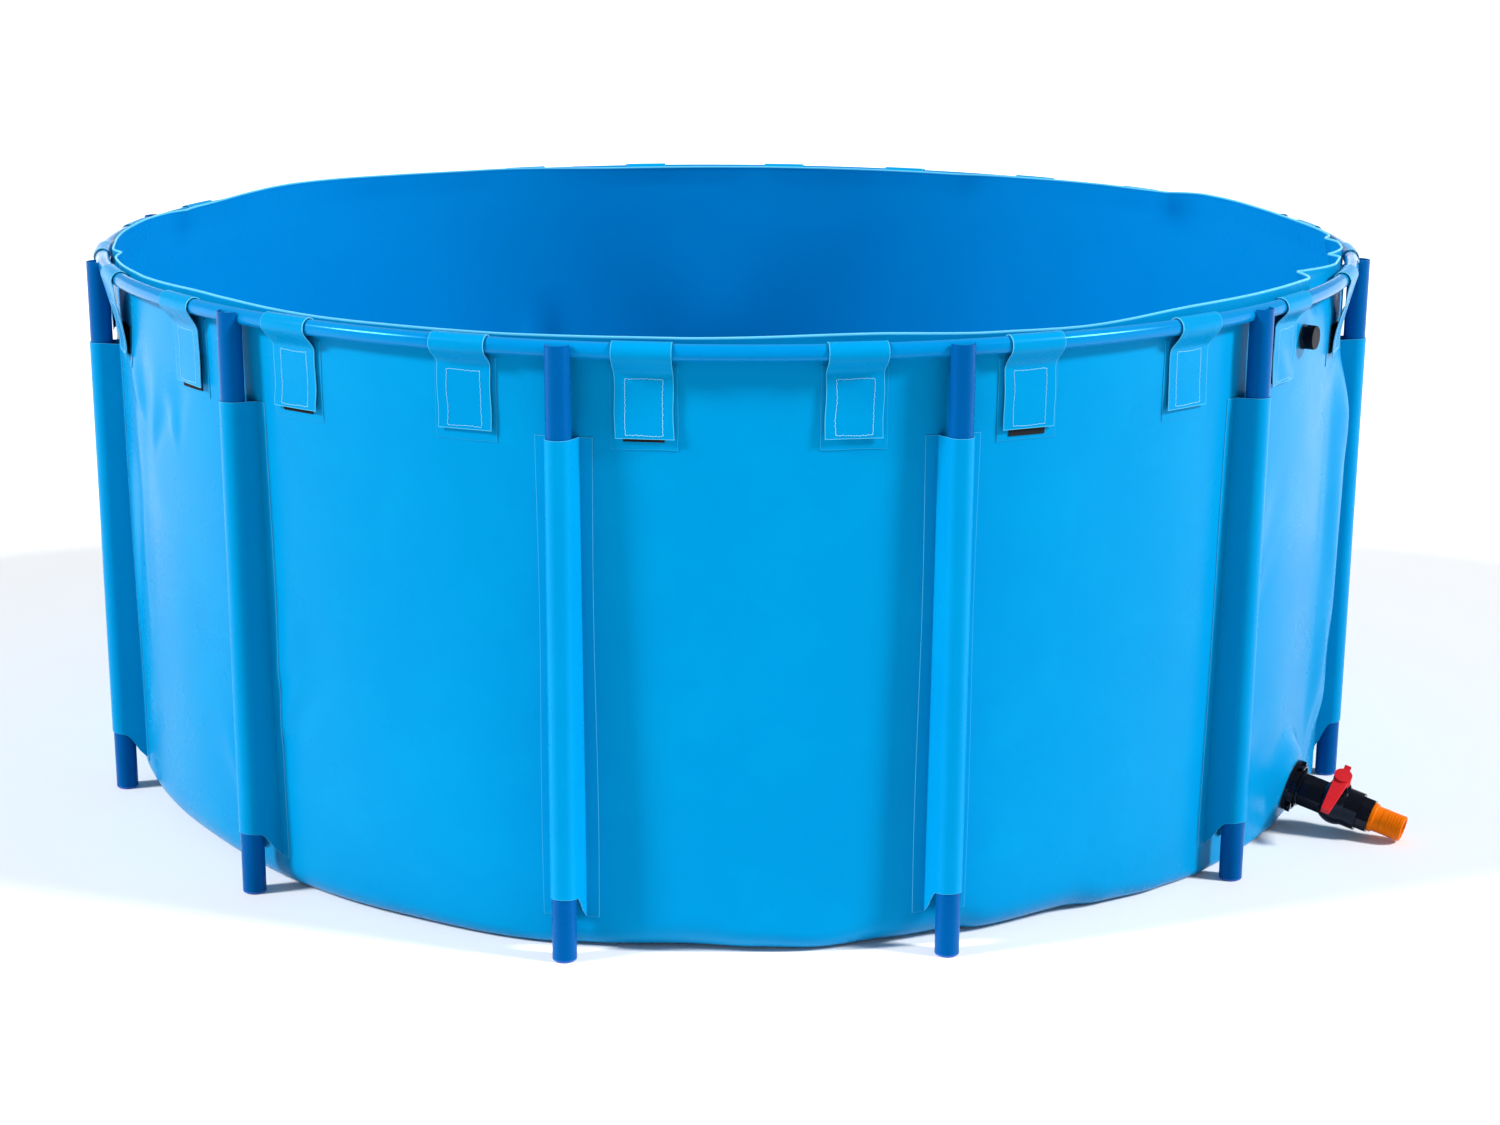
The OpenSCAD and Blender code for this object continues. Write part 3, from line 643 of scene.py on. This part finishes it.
# How far the free span of a web runs straight on from its two ends
LOOSE_PULLS, PULLS = (26 * MM, 22 * MM), (14 * MM, 11 * MM)
CREASED_STRAP = 4
SKEW = math.radians(0.9)
STRAP_COLUMNS = spaced_with_border(STRAP_W, 13, EDGE_STRIP) - STRAP_W / 2
# How far a strap's side edges stand off the wall more than each other, for the straps that twist
TWISTS = {20: 3 * MM, 5: -3 * MM, 21: 5 * MM, 4: -3 * MM, 12: 6 * MM, 16: -5 * MM}
# How far a loop pad shows under its strap's end, for the straps where it does
PAD_SHOWS = {0: 4.5 * MM, 2: 9.5 * MM, 3: 1.5 * MM, 7: 3 * MM, 11: 2 * MM, 14: 4 * MM, 18: 2 * MM,
             21: 7 * MM, 22: 5.5 * MM}
STITCH_PITCH = 3.7 * MM
STITCH_L = 2.9 * MM
STITCH_R = 0.31 * MM
SEAM_W = 49 * MM
SEAM_H = 74 * MM
SEAM_END = 4.5 * MM
# Along a stitch: share of its length, share of its thickness, and height in its radii
BEAD_STATIONS = ((-0.08, 0.45, -0.1), (0.12, 0.9, 0.5), (0.5, 1.05, 0.75), (0.88, 0.9, 0.5),
                 (1.08, 0.45, -0.1))
BEAD_SIDES = 6
# Heights between which the patches, the loop pads and the straps' roots lie on the wall
PATCH_FOOT_Z, PATCH_TOP_Z = STRAP_END_Z - 15 * MM, 812 * MM
PAD_TOP_Z, PAD_HIDDEN = 760 * MM, -2 * MM
ROOT_FOOT_Z, ROOT_TOP_Z = 765 * MM, 822 * MM


def strap_path(i):
    """A strap's points round the ring as (radius, height), then the start and the first handle of
    its free span, the height where that meets the wall, and how far the last handle pulls."""
    vary = math.sin(2.4 * i + 0.5)
    loose = i in LOOSE
    leave = math.radians(LOOSE_WRAP_TO if loose else WRAP_TO + 7 * vary)
    land_z = LOOSE[i] if loose else FLAP_LAND_Z + 3 * MM * math.sin(1.7 * i)
    turn = np.radians(np.linspace(WRAP_FROM, math.degrees(leave), 26))
    spiral = FLAP_R - WRAP_TIGHTENS * smooth((turn - leave) / math.radians(200))
    wrap = np.stack([RING_R + spiral * np.cos(turn), RING_Z + spiral * np.sin(turn)], axis=1)
    start = wrap[-1]
    pull_top, pull_foot = LOOSE_PULLS if loose else (PULLS[0] + 3 * MM * vary, PULLS[1])
    first = start + pull_top * np.array([math.sin(leave), -math.cos(leave)])
    return wrap, start, first, land_z, pull_foot


def strap_middle(i, bearing):
    """The grid of a strap's middle points: rows along it from end to root, columns across it."""
    wrap, start, first, land_z, pull = strap_path(i)
    levels = land_z + (STRAP_END_Z - land_z) * spaced_with_border(1.0, 12, 0.017)[1:]
    end_lift = 1.2 * MM * (1 + math.sin(2.9 * i)) * smooth((land_z - levels - 0.045) / 0.03)
    u = np.linspace(0, 1, 18)[1:, None]
    v = 1 - u
    columns = []
    skew = SKEW * math.sin(3.1 * i + 0.7)
    for x in STRAP_COLUMNS:
        turned = bearing + x / RING_R
        end = np.array([float(wall_radius(turned, land_z)) + FLAP_LIFT, land_z])
        curve = (v**3 * start + 3 * v * v * u * first + 3 * v * u * u * (end + [0, pull])
                 + u**3 * end)
        down = np.stack([wall_radius(turned, levels) + FLAP_LIFT + end_lift, levels], axis=1)
        line = np.concatenate([wrap, curve, down])
        curl = 0.9 * MM * (2 * abs(x) / STRAP_W) ** 3
        out_of_wrap = smooth((RING_Z - line[:, 1] - 8 * MM) / (30 * MM))
        shift = skew * (RING_Z - line[:, 1]).clip(0, None) + 0.6 * MM * np.sin(line[:, 1] * 90 + i)
        crease = 0.0
        if i == CREASED_STRAP:
            crease = 0.9 * MM * np.sin(x * 95 + line[:, 1] * 70) * smooth((0.79 - line[:, 1]) / 0.03)
        twist = TWISTS.get(i, 0.0) * x / STRAP_W + abs(TWISTS.get(i, 0.0)) / 2
        radius = line[:, 0] + (curl * 0.6 + crease + twist) * out_of_wrap
        columns.append(polar(turned + shift * out_of_wrap / RING_R, radius, line[:, 1]))
    return np.array(columns).transpose(1, 0, 2)[::-1]


def strap(i, bearing):
    """A strap's web, stitching and hook pad: the stitching and the pad go with the strap's body, and the web stays
    where it is built.
    """
    body = f"strap_{i + 1:02d}"
    middle = strap_middle(i, bearing)
    length = run_length(middle, 0)
    side = np.broadcast_to(np.linspace(0, STRAP_W, middle.shape[1]), length.shape)
    uv = np.stack([side, length], axis=-1)
    web = cloth_sheet(f"strap_web_{i + 1:02d}", middle, STRAP_T, uv=uv, edge=border(*length.shape))
    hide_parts(body, "strap_tabs")
    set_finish(web, "tarpaulin")
    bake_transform(web)
    stitches(i, body, middle)
    hook_pad(i, body, middle)


def row_lengths(grid):
    """How far each row of a strap's grid lies along it from its end."""
    return run_length(grid, 0)[:, grid.shape[1] // 2]


def surface_at(grid, lengths, x, along):
    """A point and outward normal on a strap's grid, x across from its middle and along from its end."""
    row = float(np.interp(along, lengths, np.arange(len(lengths))))
    col = float(np.interp(x, STRAP_COLUMNS, np.arange(len(STRAP_COLUMNS))))
    i, j = min(int(row), len(lengths) - 2), min(int(col), len(STRAP_COLUMNS) - 2)
    u, v = row - i, col - j
    a, b, c, d = grid[i, j], grid[i, j + 1], grid[i + 1, j], grid[i + 1, j + 1]
    point = (a * (1 - v) + b * v) * (1 - u) + (c * (1 - v) + d * v) * u
    normal = np.cross(b - a, c - a)
    return point, normal / np.linalg.norm(normal)


def stitches(i, body, grid):
    """The rectangle of lockstitches that holds the hook pad: one rounded bead of thread a stitch."""
    lengths = row_lengths(grid)
    corners = [(-SEAM_W / 2, SEAM_END), (SEAM_W / 2, SEAM_END), (SEAM_W / 2, SEAM_END + SEAM_H),
               (-SEAM_W / 2, SEAM_END + SEAM_H)]
    lean = 0.7 * MM * math.sin(1.9 * i)
    points, faces = [], []
    for k in range(4):
        a, b = np.array(corners[k]), np.array(corners[(k + 1) % 4])
        run = np.linalg.norm(b - a)
        count = round(run / STITCH_PITCH)
        for n in range(count):
            at = (n + 0.5) / count
            wobble = 0.35 * MM * math.sin(9 * n + 5 * k + 2.3 * i) + 0.45 * MM * math.sin(0.5 * n + k + i)
            side = np.array([-(b - a)[1], (b - a)[0]]) / run
            ends = []
            for half in (-STITCH_L / 2, STITCH_L / 2):
                flat = a + (b - a) * (at + half / run) + side * wobble + np.array([lean * (k == 1), 0])
                ends.append(surface_at(grid, lengths, flat[0], flat[1]))
            add_bead(points, faces, ends)
    thread = add_mesh(f"strap_stitching_{i + 1:02d}", np.array(points), faces, sharp_degrees=80)
    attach(thread, body)
    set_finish(thread, "tarpaulin")


def add_bead(points, faces, ends):
    """A stitch: a six-sided thread that dips into the cloth at both ends."""
    (p, normal), (q, _) = ends
    run = (q - p) / np.linalg.norm(q - p)
    side = np.cross(normal, run)
    first = len(points)
    for share, size, lift in BEAD_STATIONS:
        centre = p + (q - p) * share + normal * (STRAP_T / 2 + STITCH_R * lift)
        for turn in np.arange(BEAD_SIDES) * math.tau / BEAD_SIDES:
            points.append(centre + STITCH_R * size * (side * math.cos(turn) + normal * math.sin(turn)))
    for face in capped_rings(len(BEAD_STATIONS), BEAD_SIDES):
        faces.append([first + point for point in face[::-1]])


def wall_block(bearing, low, high, width, lift, thickness, rows=14, wobble=0.0, seed=0.0):
    """The grid of a piece bonded to the wall: its middle points stand off the wall's outer face."""
    x = spaced_with_border(width, 11, EDGE_STRIP) - width / 2
    z = low + spaced_with_border(high - low, rows, EDGE_STRIP)[:, None]
    x = x[None, :] + wobble * np.sin(z * 70 + seed)
    z = z + wobble * np.sin(x * 90 + seed)
    turned = bearing + x / WALL_RIM_R
    return polar(turned, wall_radius(turned, z) + lift + thickness / 2, z)


def hook_pad(i, body, grid):
    """The hook half of the fastener, sewn behind a strap's end."""
    lengths = row_lengths(grid)
    behind = (STRAP_T + PAD_T) / 2 + 0.02 * MM
    rows = []
    for along in 2.5 * MM + spaced_with_border(HOOK_H, 14, EDGE_STRIP):
        row = []
        for x in spaced_with_border(PAD_W, 9, EDGE_STRIP) - PAD_W / 2:
            point, normal = surface_at(grid, lengths, x, along)
            row.append(point - normal * behind)
        rows.append(row)
    pad = cloth_sheet(f"hook_pad_{i + 1:02d}", np.array(rows), PAD_T)
    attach(pad, body)
    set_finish(pad, "hook_and_loop")


def wall_pieces(bearings):
    """The backing patches, loop pads and strap roots that are bonded or sewn to the wall."""
    made = []
    for i, bearing in enumerate(bearings):
        patch = wall_block(bearing, PATCH_FOOT_Z, PATCH_TOP_Z, PATCH_W, 0.1 * MM, PATCH_T,
                           rows=22, wobble=0.35 * MM, seed=i)
        edge = 0.5 * border(*patch.shape[:2])
        patch = cloth_sheet(f"strap_patch_{i + 1:02d}", patch, PATCH_T, edge=edge)
        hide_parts("strap_patches")
        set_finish(patch, "tarpaulin")
        pad_foot = STRAP_END_Z - PAD_SHOWS.get(i, PAD_HIDDEN)
        loop = wall_block(bearing, pad_foot, PAD_TOP_Z, PAD_W, PATCH_T, PAD_T)
        loop = cloth_sheet(f"loop_pad_{i + 1:02d}", loop, PAD_T)
        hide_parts("loop_pads")
        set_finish(loop, "hook_and_loop")
        root = cloth_sheet(f"strap_root_{i + 1:02d}", root_middle(bearing), 1.0 * MM)
        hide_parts("strap_tabs")
        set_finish(root, "tarpaulin")
        made += [patch, loop, root]
    for piece in made:
        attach(piece, ROOT)
    return made


def root_middle(bearing):
    """A strap's sewn root: up the wall's outside and onto the ring's inner side."""
    across = np.linspace(-STRAP_W / 2, STRAP_W / 2, 9)
    turned = bearing + across / WALL_RIM_R
    rows = []
    for height in np.linspace(ROOT_FOOT_Z, ROOT_TOP_Z, 8):
        rows.append(polar(turned, wall_radius(turned, height) + PATCH_T + 0.7 * MM, height))
    turn = math.radians(WRAP_FROM)
    spiral = FLAP_R - WRAP_TIGHTENS
    rows.append(polar(turned, RING_R + spiral * math.cos(turn), RING_Z + spiral * math.sin(turn)))
    return np.array(rows)


# ---- materials ----
WEAVE_PITCH = 1.25 * MM
MOULD_GRAIN = 420


class Nodes:
    """Builds one material's nodes."""

    def __init__(self, name):
        self.material = bpy.data.materials.new(name)
        self.material.use_nodes = True
        self.tree = self.material.node_tree
        self.shader = self.tree.nodes["Principled BSDF"]

    def add(self, kind, **settings):
        """A node with its properties and inputs set by name."""
        node = self.tree.nodes.new(kind)
        for key, value in settings.items():
            if hasattr(node, key):
                setattr(node, key, value)
            else:
                node.inputs[key.replace("_", " ").title()].default_value = value
        return node

    def link(self, source, target):
        self.tree.links.new(source, target)

    def feed(self, value, socket):
        """Sets a socket to a colour or a number, or links it to another socket."""
        if isinstance(value, tuple):
            socket.default_value = (*value, 1.0)
        elif isinstance(value, (int, float)):
            socket.default_value = value
        else:
            self.link(value, socket)

    def noise(self, coordinates, scale, detail=3.0, roughness=0.5):
        node = self.add("ShaderNodeTexNoise", scale=scale, detail=detail, roughness=roughness)
        self.link(coordinates, node.inputs["Vector"])
        return node.outputs["Fac"]

    def ramp(self, value, low, high, out_low=0.0, out_high=1.0):
        """Maps low and high to out_low and out_high, and stops there."""
        node = self.add("ShaderNodeMapRange", clamp=True, from_min=low, from_max=high,
                        to_min=out_low, to_max=out_high)
        self.link(value, node.inputs["Value"])
        return node.outputs["Result"]

    def mix(self, share, a, b):
        """A mixed colour; a and b are colours or sockets."""
        node = self.add("ShaderNodeMix", data_type="RGBA")
        self.link(share, node.inputs["Factor"])
        self.feed(a, node.inputs[6])
        self.feed(b, node.inputs[7])
        return node.outputs[2]

    def maths(self, operation, a, b=0.0):
        node = self.add("ShaderNodeMath", operation=operation)
        self.feed(a, node.inputs[0])
        self.feed(b, node.inputs[1])
        return node.outputs[0]

    def bump(self, height, strength, distance, under=None):
        node = self.add("ShaderNodeBump", strength=strength, distance=distance)
        self.link(height, node.inputs["Height"])
        if under is not None:
            self.link(under, node.inputs["Normal"])
        return node.outputs["Normal"]

    def place(self):
        return self.add("ShaderNodeTexCoord").outputs["Object"]

    def flat_cloth(self):
        return self.add("ShaderNodeUVMap", uv_map="flat_cloth").outputs["UV"]

    def attribute(self, name):
        return self.add("ShaderNodeAttribute", attribute_name=name).outputs["Fac"]

    def finish(self, color, roughness, normal=None, **sockets):
        """Feeds the shader from sockets, and its other inputs from numbers given by name."""
        for value, name in ((color, "Base Color"), (roughness, "Roughness")):
            self.link(value, self.shader.inputs[name])
        if normal is not None:
            self.link(normal, self.shader.inputs["Normal"])
        for name, value in sockets.items():
            self.shader.inputs[name.replace("_", " ").title().replace("Ior", "IOR")].default_value = value
        return self.material


def cloth_material(name, base, deep, inside, pale):
    """Glossy coated fabric: a soft coat over a faint weave, with paler cut edges and light scuffs, a painted
    highlight line along the wall's foot, and a darker back side that is painted shade for the inside of the tank.
    """
    n = Nodes(name)
    place, flat = n.place(), n.flat_cloth()
    tone = n.mix(n.ramp(n.noise(place, 1.7, 2.0), 0.3, 0.7), base, deep)
    cloud = (0.0, pale[1], pale[2])
    tone = n.mix(n.ramp(n.noise(place, 11, 3.0), 0.45, 0.8, 0.0, 0.06), tone, cloud)
    scuffs = n.ramp(n.noise(place, 60, 6.0, 0.75), 0.68, 0.8, 0.0, 0.06)
    tone = n.mix(scuffs, tone, cloud)
    # Painted shade: the back of the cloth, which faces into the tank, gets the darker inside colour
    tone = n.mix(n.ramp(n.attribute("inner"), 0.4, 0.6), tone, inside)
    # Paler cut edges, and the painted highlight line along the wall's foot
    edge = n.ramp(n.attribute("edge"), 0.25, 0.95)
    tone = n.mix(edge, tone, pale)
    rough = n.ramp(n.noise(place, 9, 4.0), 0.3, 0.7, 0.24, 0.34)
    rough = n.maths("ADD", rough, n.ramp(n.noise(place, 75, 5.0, 0.7), 0.55, 0.8, 0.0, 0.06))
    split = n.add("ShaderNodeSeparateXYZ")
    n.link(flat, split.inputs[0])
    turns = math.tau / WEAVE_PITCH
    warp = n.maths("SINE", n.maths("MULTIPLY", split.outputs[0], turns))
    weft = n.maths("SINE", n.maths("MULTIPLY", split.outputs[1], turns))
    weave = n.maths("MULTIPLY", warp, weft)
    normal = n.bump(n.noise(place, 5.5, 2.0), 0.25, 2.0 * MM)
    normal = n.bump(n.noise(place, 160, 3.0), 0.06, 0.15 * MM, under=normal)
    normal = n.bump(weave, 0.04, 0.08 * MM, under=normal)
    return n.finish(tone, rough, normal, specular_ior_level=0.09, specular_tint=(0.0, 0.35, 0.8, 1.0))


def tube_material(name, base, deep, shine, rough_low, rough_high):
    """Glossy coating on drawn tube: faint drawing lines, rub marks and a soft orange peel."""
    n = Nodes(name)
    place = n.place()
    tone = n.mix(n.ramp(n.noise(place, 3.0, 3.0), 0.35, 0.65), base, deep)
    tone = n.mix(n.ramp(n.noise(place, 120, 5.0, 0.7), 0.68, 0.78, 0.0, 0.12), tone, (0.0, 0.2, 0.5))
    rough = n.ramp(n.noise(place, 18, 4.0), 0.3, 0.7, rough_low, rough_high)
    stretch = n.add("ShaderNodeMapping")
    stretch.inputs["Scale"].default_value = (900, 900, 9)
    n.link(place, stretch.inputs["Vector"])
    lines = n.noise(stretch.outputs[0], 1.0, 2.0)
    normal = n.bump(lines, 0.04, 0.06 * MM)
    normal = n.bump(n.noise(place, 260, 3.0), 0.05, 0.1 * MM, under=normal)
    return n.finish(tone, rough, normal, specular_ior_level=shine, specular_tint=(0.0, 0.45, 1.0, 1.0))


def plastic_material(name, base, worn, rough_low, rough_high, depth=0.12 * MM, shine=0.5,
                     tint=(1.0, 1.0, 1.0)):
    """Moulded plastic: fine mould grain, a little colour drift and duller worn spots."""
    n = Nodes(name)
    place = n.place()
    tone = n.mix(n.ramp(n.noise(place, 25, 4.0), 0.35, 0.7), base, worn)
    rough = n.ramp(n.noise(place, 45, 5.0), 0.3, 0.72, rough_low, rough_high)
    normal = n.bump(n.noise(place, MOULD_GRAIN, 3.0), 0.25, depth)
    normal = n.bump(n.noise(place, 35, 2.0), 0.2, 0.5 * MM, under=normal)
    return n.finish(tone, rough, normal, specular_ior_level=shine, specular_tint=(*tint, 1.0))


def pile_material():
    """Black hook-and-loop pile."""
    n = Nodes("hook_and_loop_black")
    place = n.place()
    curls = n.noise(place, 1500, 4.0, 0.8)
    tone = n.mix(n.ramp(curls, 0.3, 0.75), (0.002, 0.002, 0.003), (0.012, 0.012, 0.015))
    rough = n.ramp(curls, 0.2, 0.8, 0.75, 0.95)
    normal = n.bump(curls, 0.9, 0.8 * MM)
    return n.finish(tone, rough, normal, specular_ior_level=0.2)


def thread_material():
    """White polyester thread, twisted."""
    n = Nodes("thread_white")
    place = n.place()
    twist = n.noise(place, 2600, 2.0)
    tone = n.mix(n.ramp(twist, 0.35, 0.7), (0.36, 0.66, 0.80), (0.26, 0.56, 0.72))
    rough = n.ramp(twist, 0.2, 0.8, 0.55, 0.75)
    return n.finish(tone, rough, n.bump(twist, 0.6, 0.2 * MM))


def metal_material():
    """Galvanised steel with a soft spangle."""
    n = Nodes("galvanised_steel")
    place = n.place()
    cell = n.add("ShaderNodeTexVoronoi", scale=130.0)
    n.link(place, cell.inputs["Vector"])
    tone = n.mix(n.ramp(cell.outputs["Distance"], 0.1, 0.7), (0.52, 0.54, 0.56), (0.66, 0.68, 0.7))
    rough = n.ramp(cell.outputs["Distance"], 0.1, 0.7, 0.3, 0.5)
    return n.finish(tone, rough, n.bump(n.noise(place, 300, 3.0), 0.1, 0.1 * MM), metallic=1.0)


def make_materials():
    """Materials by slot, and the two that some pieces have instead."""
    azure, deeper, pale = (0.0, 0.222, 0.485), (0.0, 0.208, 0.465), (0.1, 0.46, 0.66)
    made = {
        # The tarpaulin's third colour is a darker copy of azure, painted shade for the inside of the tank
        "tarpaulin": cloth_material("tarpaulin_blue", azure, deeper, (0.0, 0.182, 0.49), pale),
        "blue_tube": tube_material("post_blue", (0.0, 0.076, 0.27), (0.0, 0.065, 0.24), 0.14, 0.2, 0.3),
        "foot_plastic": plastic_material("foot_blue", (0.0, 0.09, 0.45), (0.01, 0.08, 0.4), 0.4, 0.6),
        "hook_and_loop": pile_material(),
        "black_plastic": plastic_material("moulded_black", (0.002, 0.0025, 0.005), (0.004, 0.0045, 0.008),
                                          0.1, 0.2, depth=0.05 * MM, shine=0.3, tint=(0.5, 0.65, 1.0)),
        "cap_plastic": plastic_material("cap_black", (0.002, 0.002, 0.004), (0.004, 0.004, 0.007),
                                        0.35, 0.5, shine=0.08, tint=(0.5, 0.65, 1.0)),
        "seal_rubber": plastic_material("rubber_black", (0.02, 0.02, 0.02), (0.035, 0.035, 0.035),
                                        0.6, 0.8),
        "seat_plastic": plastic_material("seat_white", (0.8, 0.8, 0.78), (0.7, 0.7, 0.68), 0.35, 0.5),
        "ball_plastic": plastic_material("ball_grey", (0.5, 0.51, 0.53), (0.42, 0.43, 0.45), 0.2, 0.35),
        "red_plastic": plastic_material("handle_red", (0.60, 0.018, 0.024), (0.54, 0.014, 0.02),
                                        0.25, 0.4, shine=0.3, tint=(1.0, 0.3, 0.3)),
        "orange_plastic": plastic_material("tail_orange", (0.80, 0.165, 0.002), (0.74, 0.145, 0.002), 0.3,
                                           0.45, shine=0.3, tint=(1.0, 0.5, 0.1)),
        "galvanised_tube": metal_material(),
    }
    # Painted light: the ring's coat is a lighter, more azure copy of the posts' blue coating, though both carry
    # the blue_tube slot
    ring = tube_material("ring_blue_painted_lit", (0.0, 0.185, 0.46), (0.0, 0.17, 0.43), 0.36, 0.16, 0.22)
    return made, thread_material(), ring


# ---- the studio ----
# The pale floor is a wide disc whose far edge sweeps up, so that low views see no horizon
SWEEP_R = 60.0
SWEEP_BEND = 14.0
FLOOR_SIDES = 48
FLOOR_INNER_R = 8.0
FLOOR_GAP = 0.5 * MM
SKY_STRENGTH = 0.26
# Name, bearing and elevation in degrees, strength, and spread in degrees
SUNS = (("sun_left", -75.5, 34, 1.36, 10), ("sun_right", 72.5, 35, 1.44, 10))
CAMERA_PLACE = (-0.1846, -4.2783, 1.4458)
CAMERA_PAN, CAMERA_TILT, CAMERA_ROLL = math.radians(-2.98), math.radians(74.914), math.radians(0.365)
CAMERA_LENS, CAMERA_SENSOR = 63.44, 36


def soft_sun(name, bearing_degrees, elevation_degrees, strength, spread_degrees):
    """A far soft light from a bearing and an elevation; strength 1 lights a white wall to white."""
    light = bpy.data.lights.new(name, "SUN")
    light.energy = strength * math.pi
    light.angle = math.radians(spread_degrees)
    made = bpy.data.objects.new(name, light)
    bpy.context.scene.collection.objects.link(made)
    bearing, elevation = math.radians(bearing_degrees), math.radians(elevation_degrees)
    towards = math.cos(elevation) * Vector(outward(bearing)) + math.sin(elevation) * Vector((0, 0, 1))
    made.rotation_euler = towards.to_track_quat("Z", "Y").to_euler()


def studio():
    """A pale floor, a soft even sky and two low suns, one at each side."""
    sweep = [(SWEEP_R - SWEEP_BEND + SWEEP_BEND * math.sin(a), SWEEP_BEND * (1 - math.cos(a)))
             for a in np.radians(np.linspace(0, 85, 12))]
    profile = [(FLOOR_INNER_R, 0.0)] + sweep
    points = [polar(bearing, radius, height - FLOOR_GAP) for radius, height in profile
              for bearing in np.radians(np.arange(0, 360, 360 / FLOOR_SIDES))]
    rings = ring_quads(len(profile), FLOOR_SIDES)
    ground = add_mesh("studio_floor", np.array(points), [list(range(FLOOR_SIDES))] + rings)
    n = Nodes("studio_floor_pale")
    tone = n.mix(n.noise(n.place(), 0.6, 2.0), (0.84, 0.84, 0.84), (0.86, 0.86, 0.86))
    ground.data.materials.append(n.finish(tone, n.ramp(n.noise(n.place(), 3, 3), 0, 1, 0.8, 0.9),
                                          specular_ior_level=0.1))
    ground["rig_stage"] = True
    world = bpy.data.worlds.new("studio_air")
    bpy.context.scene.world = world
    world.use_nodes = True
    sky = world.node_tree.nodes["Background"]
    sky.inputs[0].default_value = (0.96, 0.98, 1.0, 1.0)
    sky.inputs[1].default_value = SKY_STRENGTH
    for sun in SUNS:
        soft_sun(*sun)
    bpy.context.scene.view_settings.view_transform = "Standard"
    bpy.context.scene.view_settings.look = "None"


def camera():
    """The view from the front, a little above the rim."""
    made = bpy.data.objects.new("camera", bpy.data.cameras.new("camera"))
    bpy.context.scene.collection.objects.link(made)
    made.data.sensor_width = CAMERA_SENSOR
    made.data.lens = CAMERA_LENS
    turned = (Matrix.Rotation(CAMERA_PAN, 4, "Z") @ Matrix.Rotation(CAMERA_TILT, 4, "X")
              @ Matrix.Rotation(CAMERA_ROLL, 4, "Z"))
    made.matrix_world = Matrix.Translation(CAMERA_PLACE) @ turned
    bpy.context.scene.camera = made


# ---- build ----
camera()
studio()
materials, thread, ring_painted_lit_coat = make_materials()

strap_places = [JOINTS[f"strap_{i + 1:02d}_peel"]["pos_m"] for i in range(STRAP_COUNT)]
strap_bearings = [math.atan2(p[0], -p[1]) for p in strap_places]
post_bearings = [math.tau / POST_COUNT * (i + 0.5) for i in range(POST_COUNT)]

for i, bearing in enumerate(post_bearings):
    post_tube(i, bearing)
    post_foot(i, bearing)
for i in range(RING_PIECES):
    ring_tube(i, strap_bearings[1] + math.tau / RING_PIECES * i)
hose_tail()
wall = liner_wall()
floor = liner_floor()
for i, bearing in enumerate(post_bearings):
    post_sleeve(i, bearing)
on_the_wall = wall_pieces(strap_bearings)
for i, bearing in enumerate(strap_bearings):
    strap(i, bearing)

slots = {row["node"]: row["material_slot"] for row in frame["record"]["subparts"]}
for name, node in frame["nodes"].items():
    node.data.materials.clear()
    node.data.materials.append(materials["cap_plastic" if name == "overflow_cap" else slots[name]])
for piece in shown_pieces():
    if piece.type == "MESH" and "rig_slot" in piece:
        piece.data.materials.clear()
        special = {"strap_stitching": thread, "ring_tube": ring_painted_lit_coat}
        chosen = [look for start, look in special.items() if piece.name.startswith(start)]
        piece.data.materials.append(chosen[0] if chosen else materials[piece["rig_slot"]])
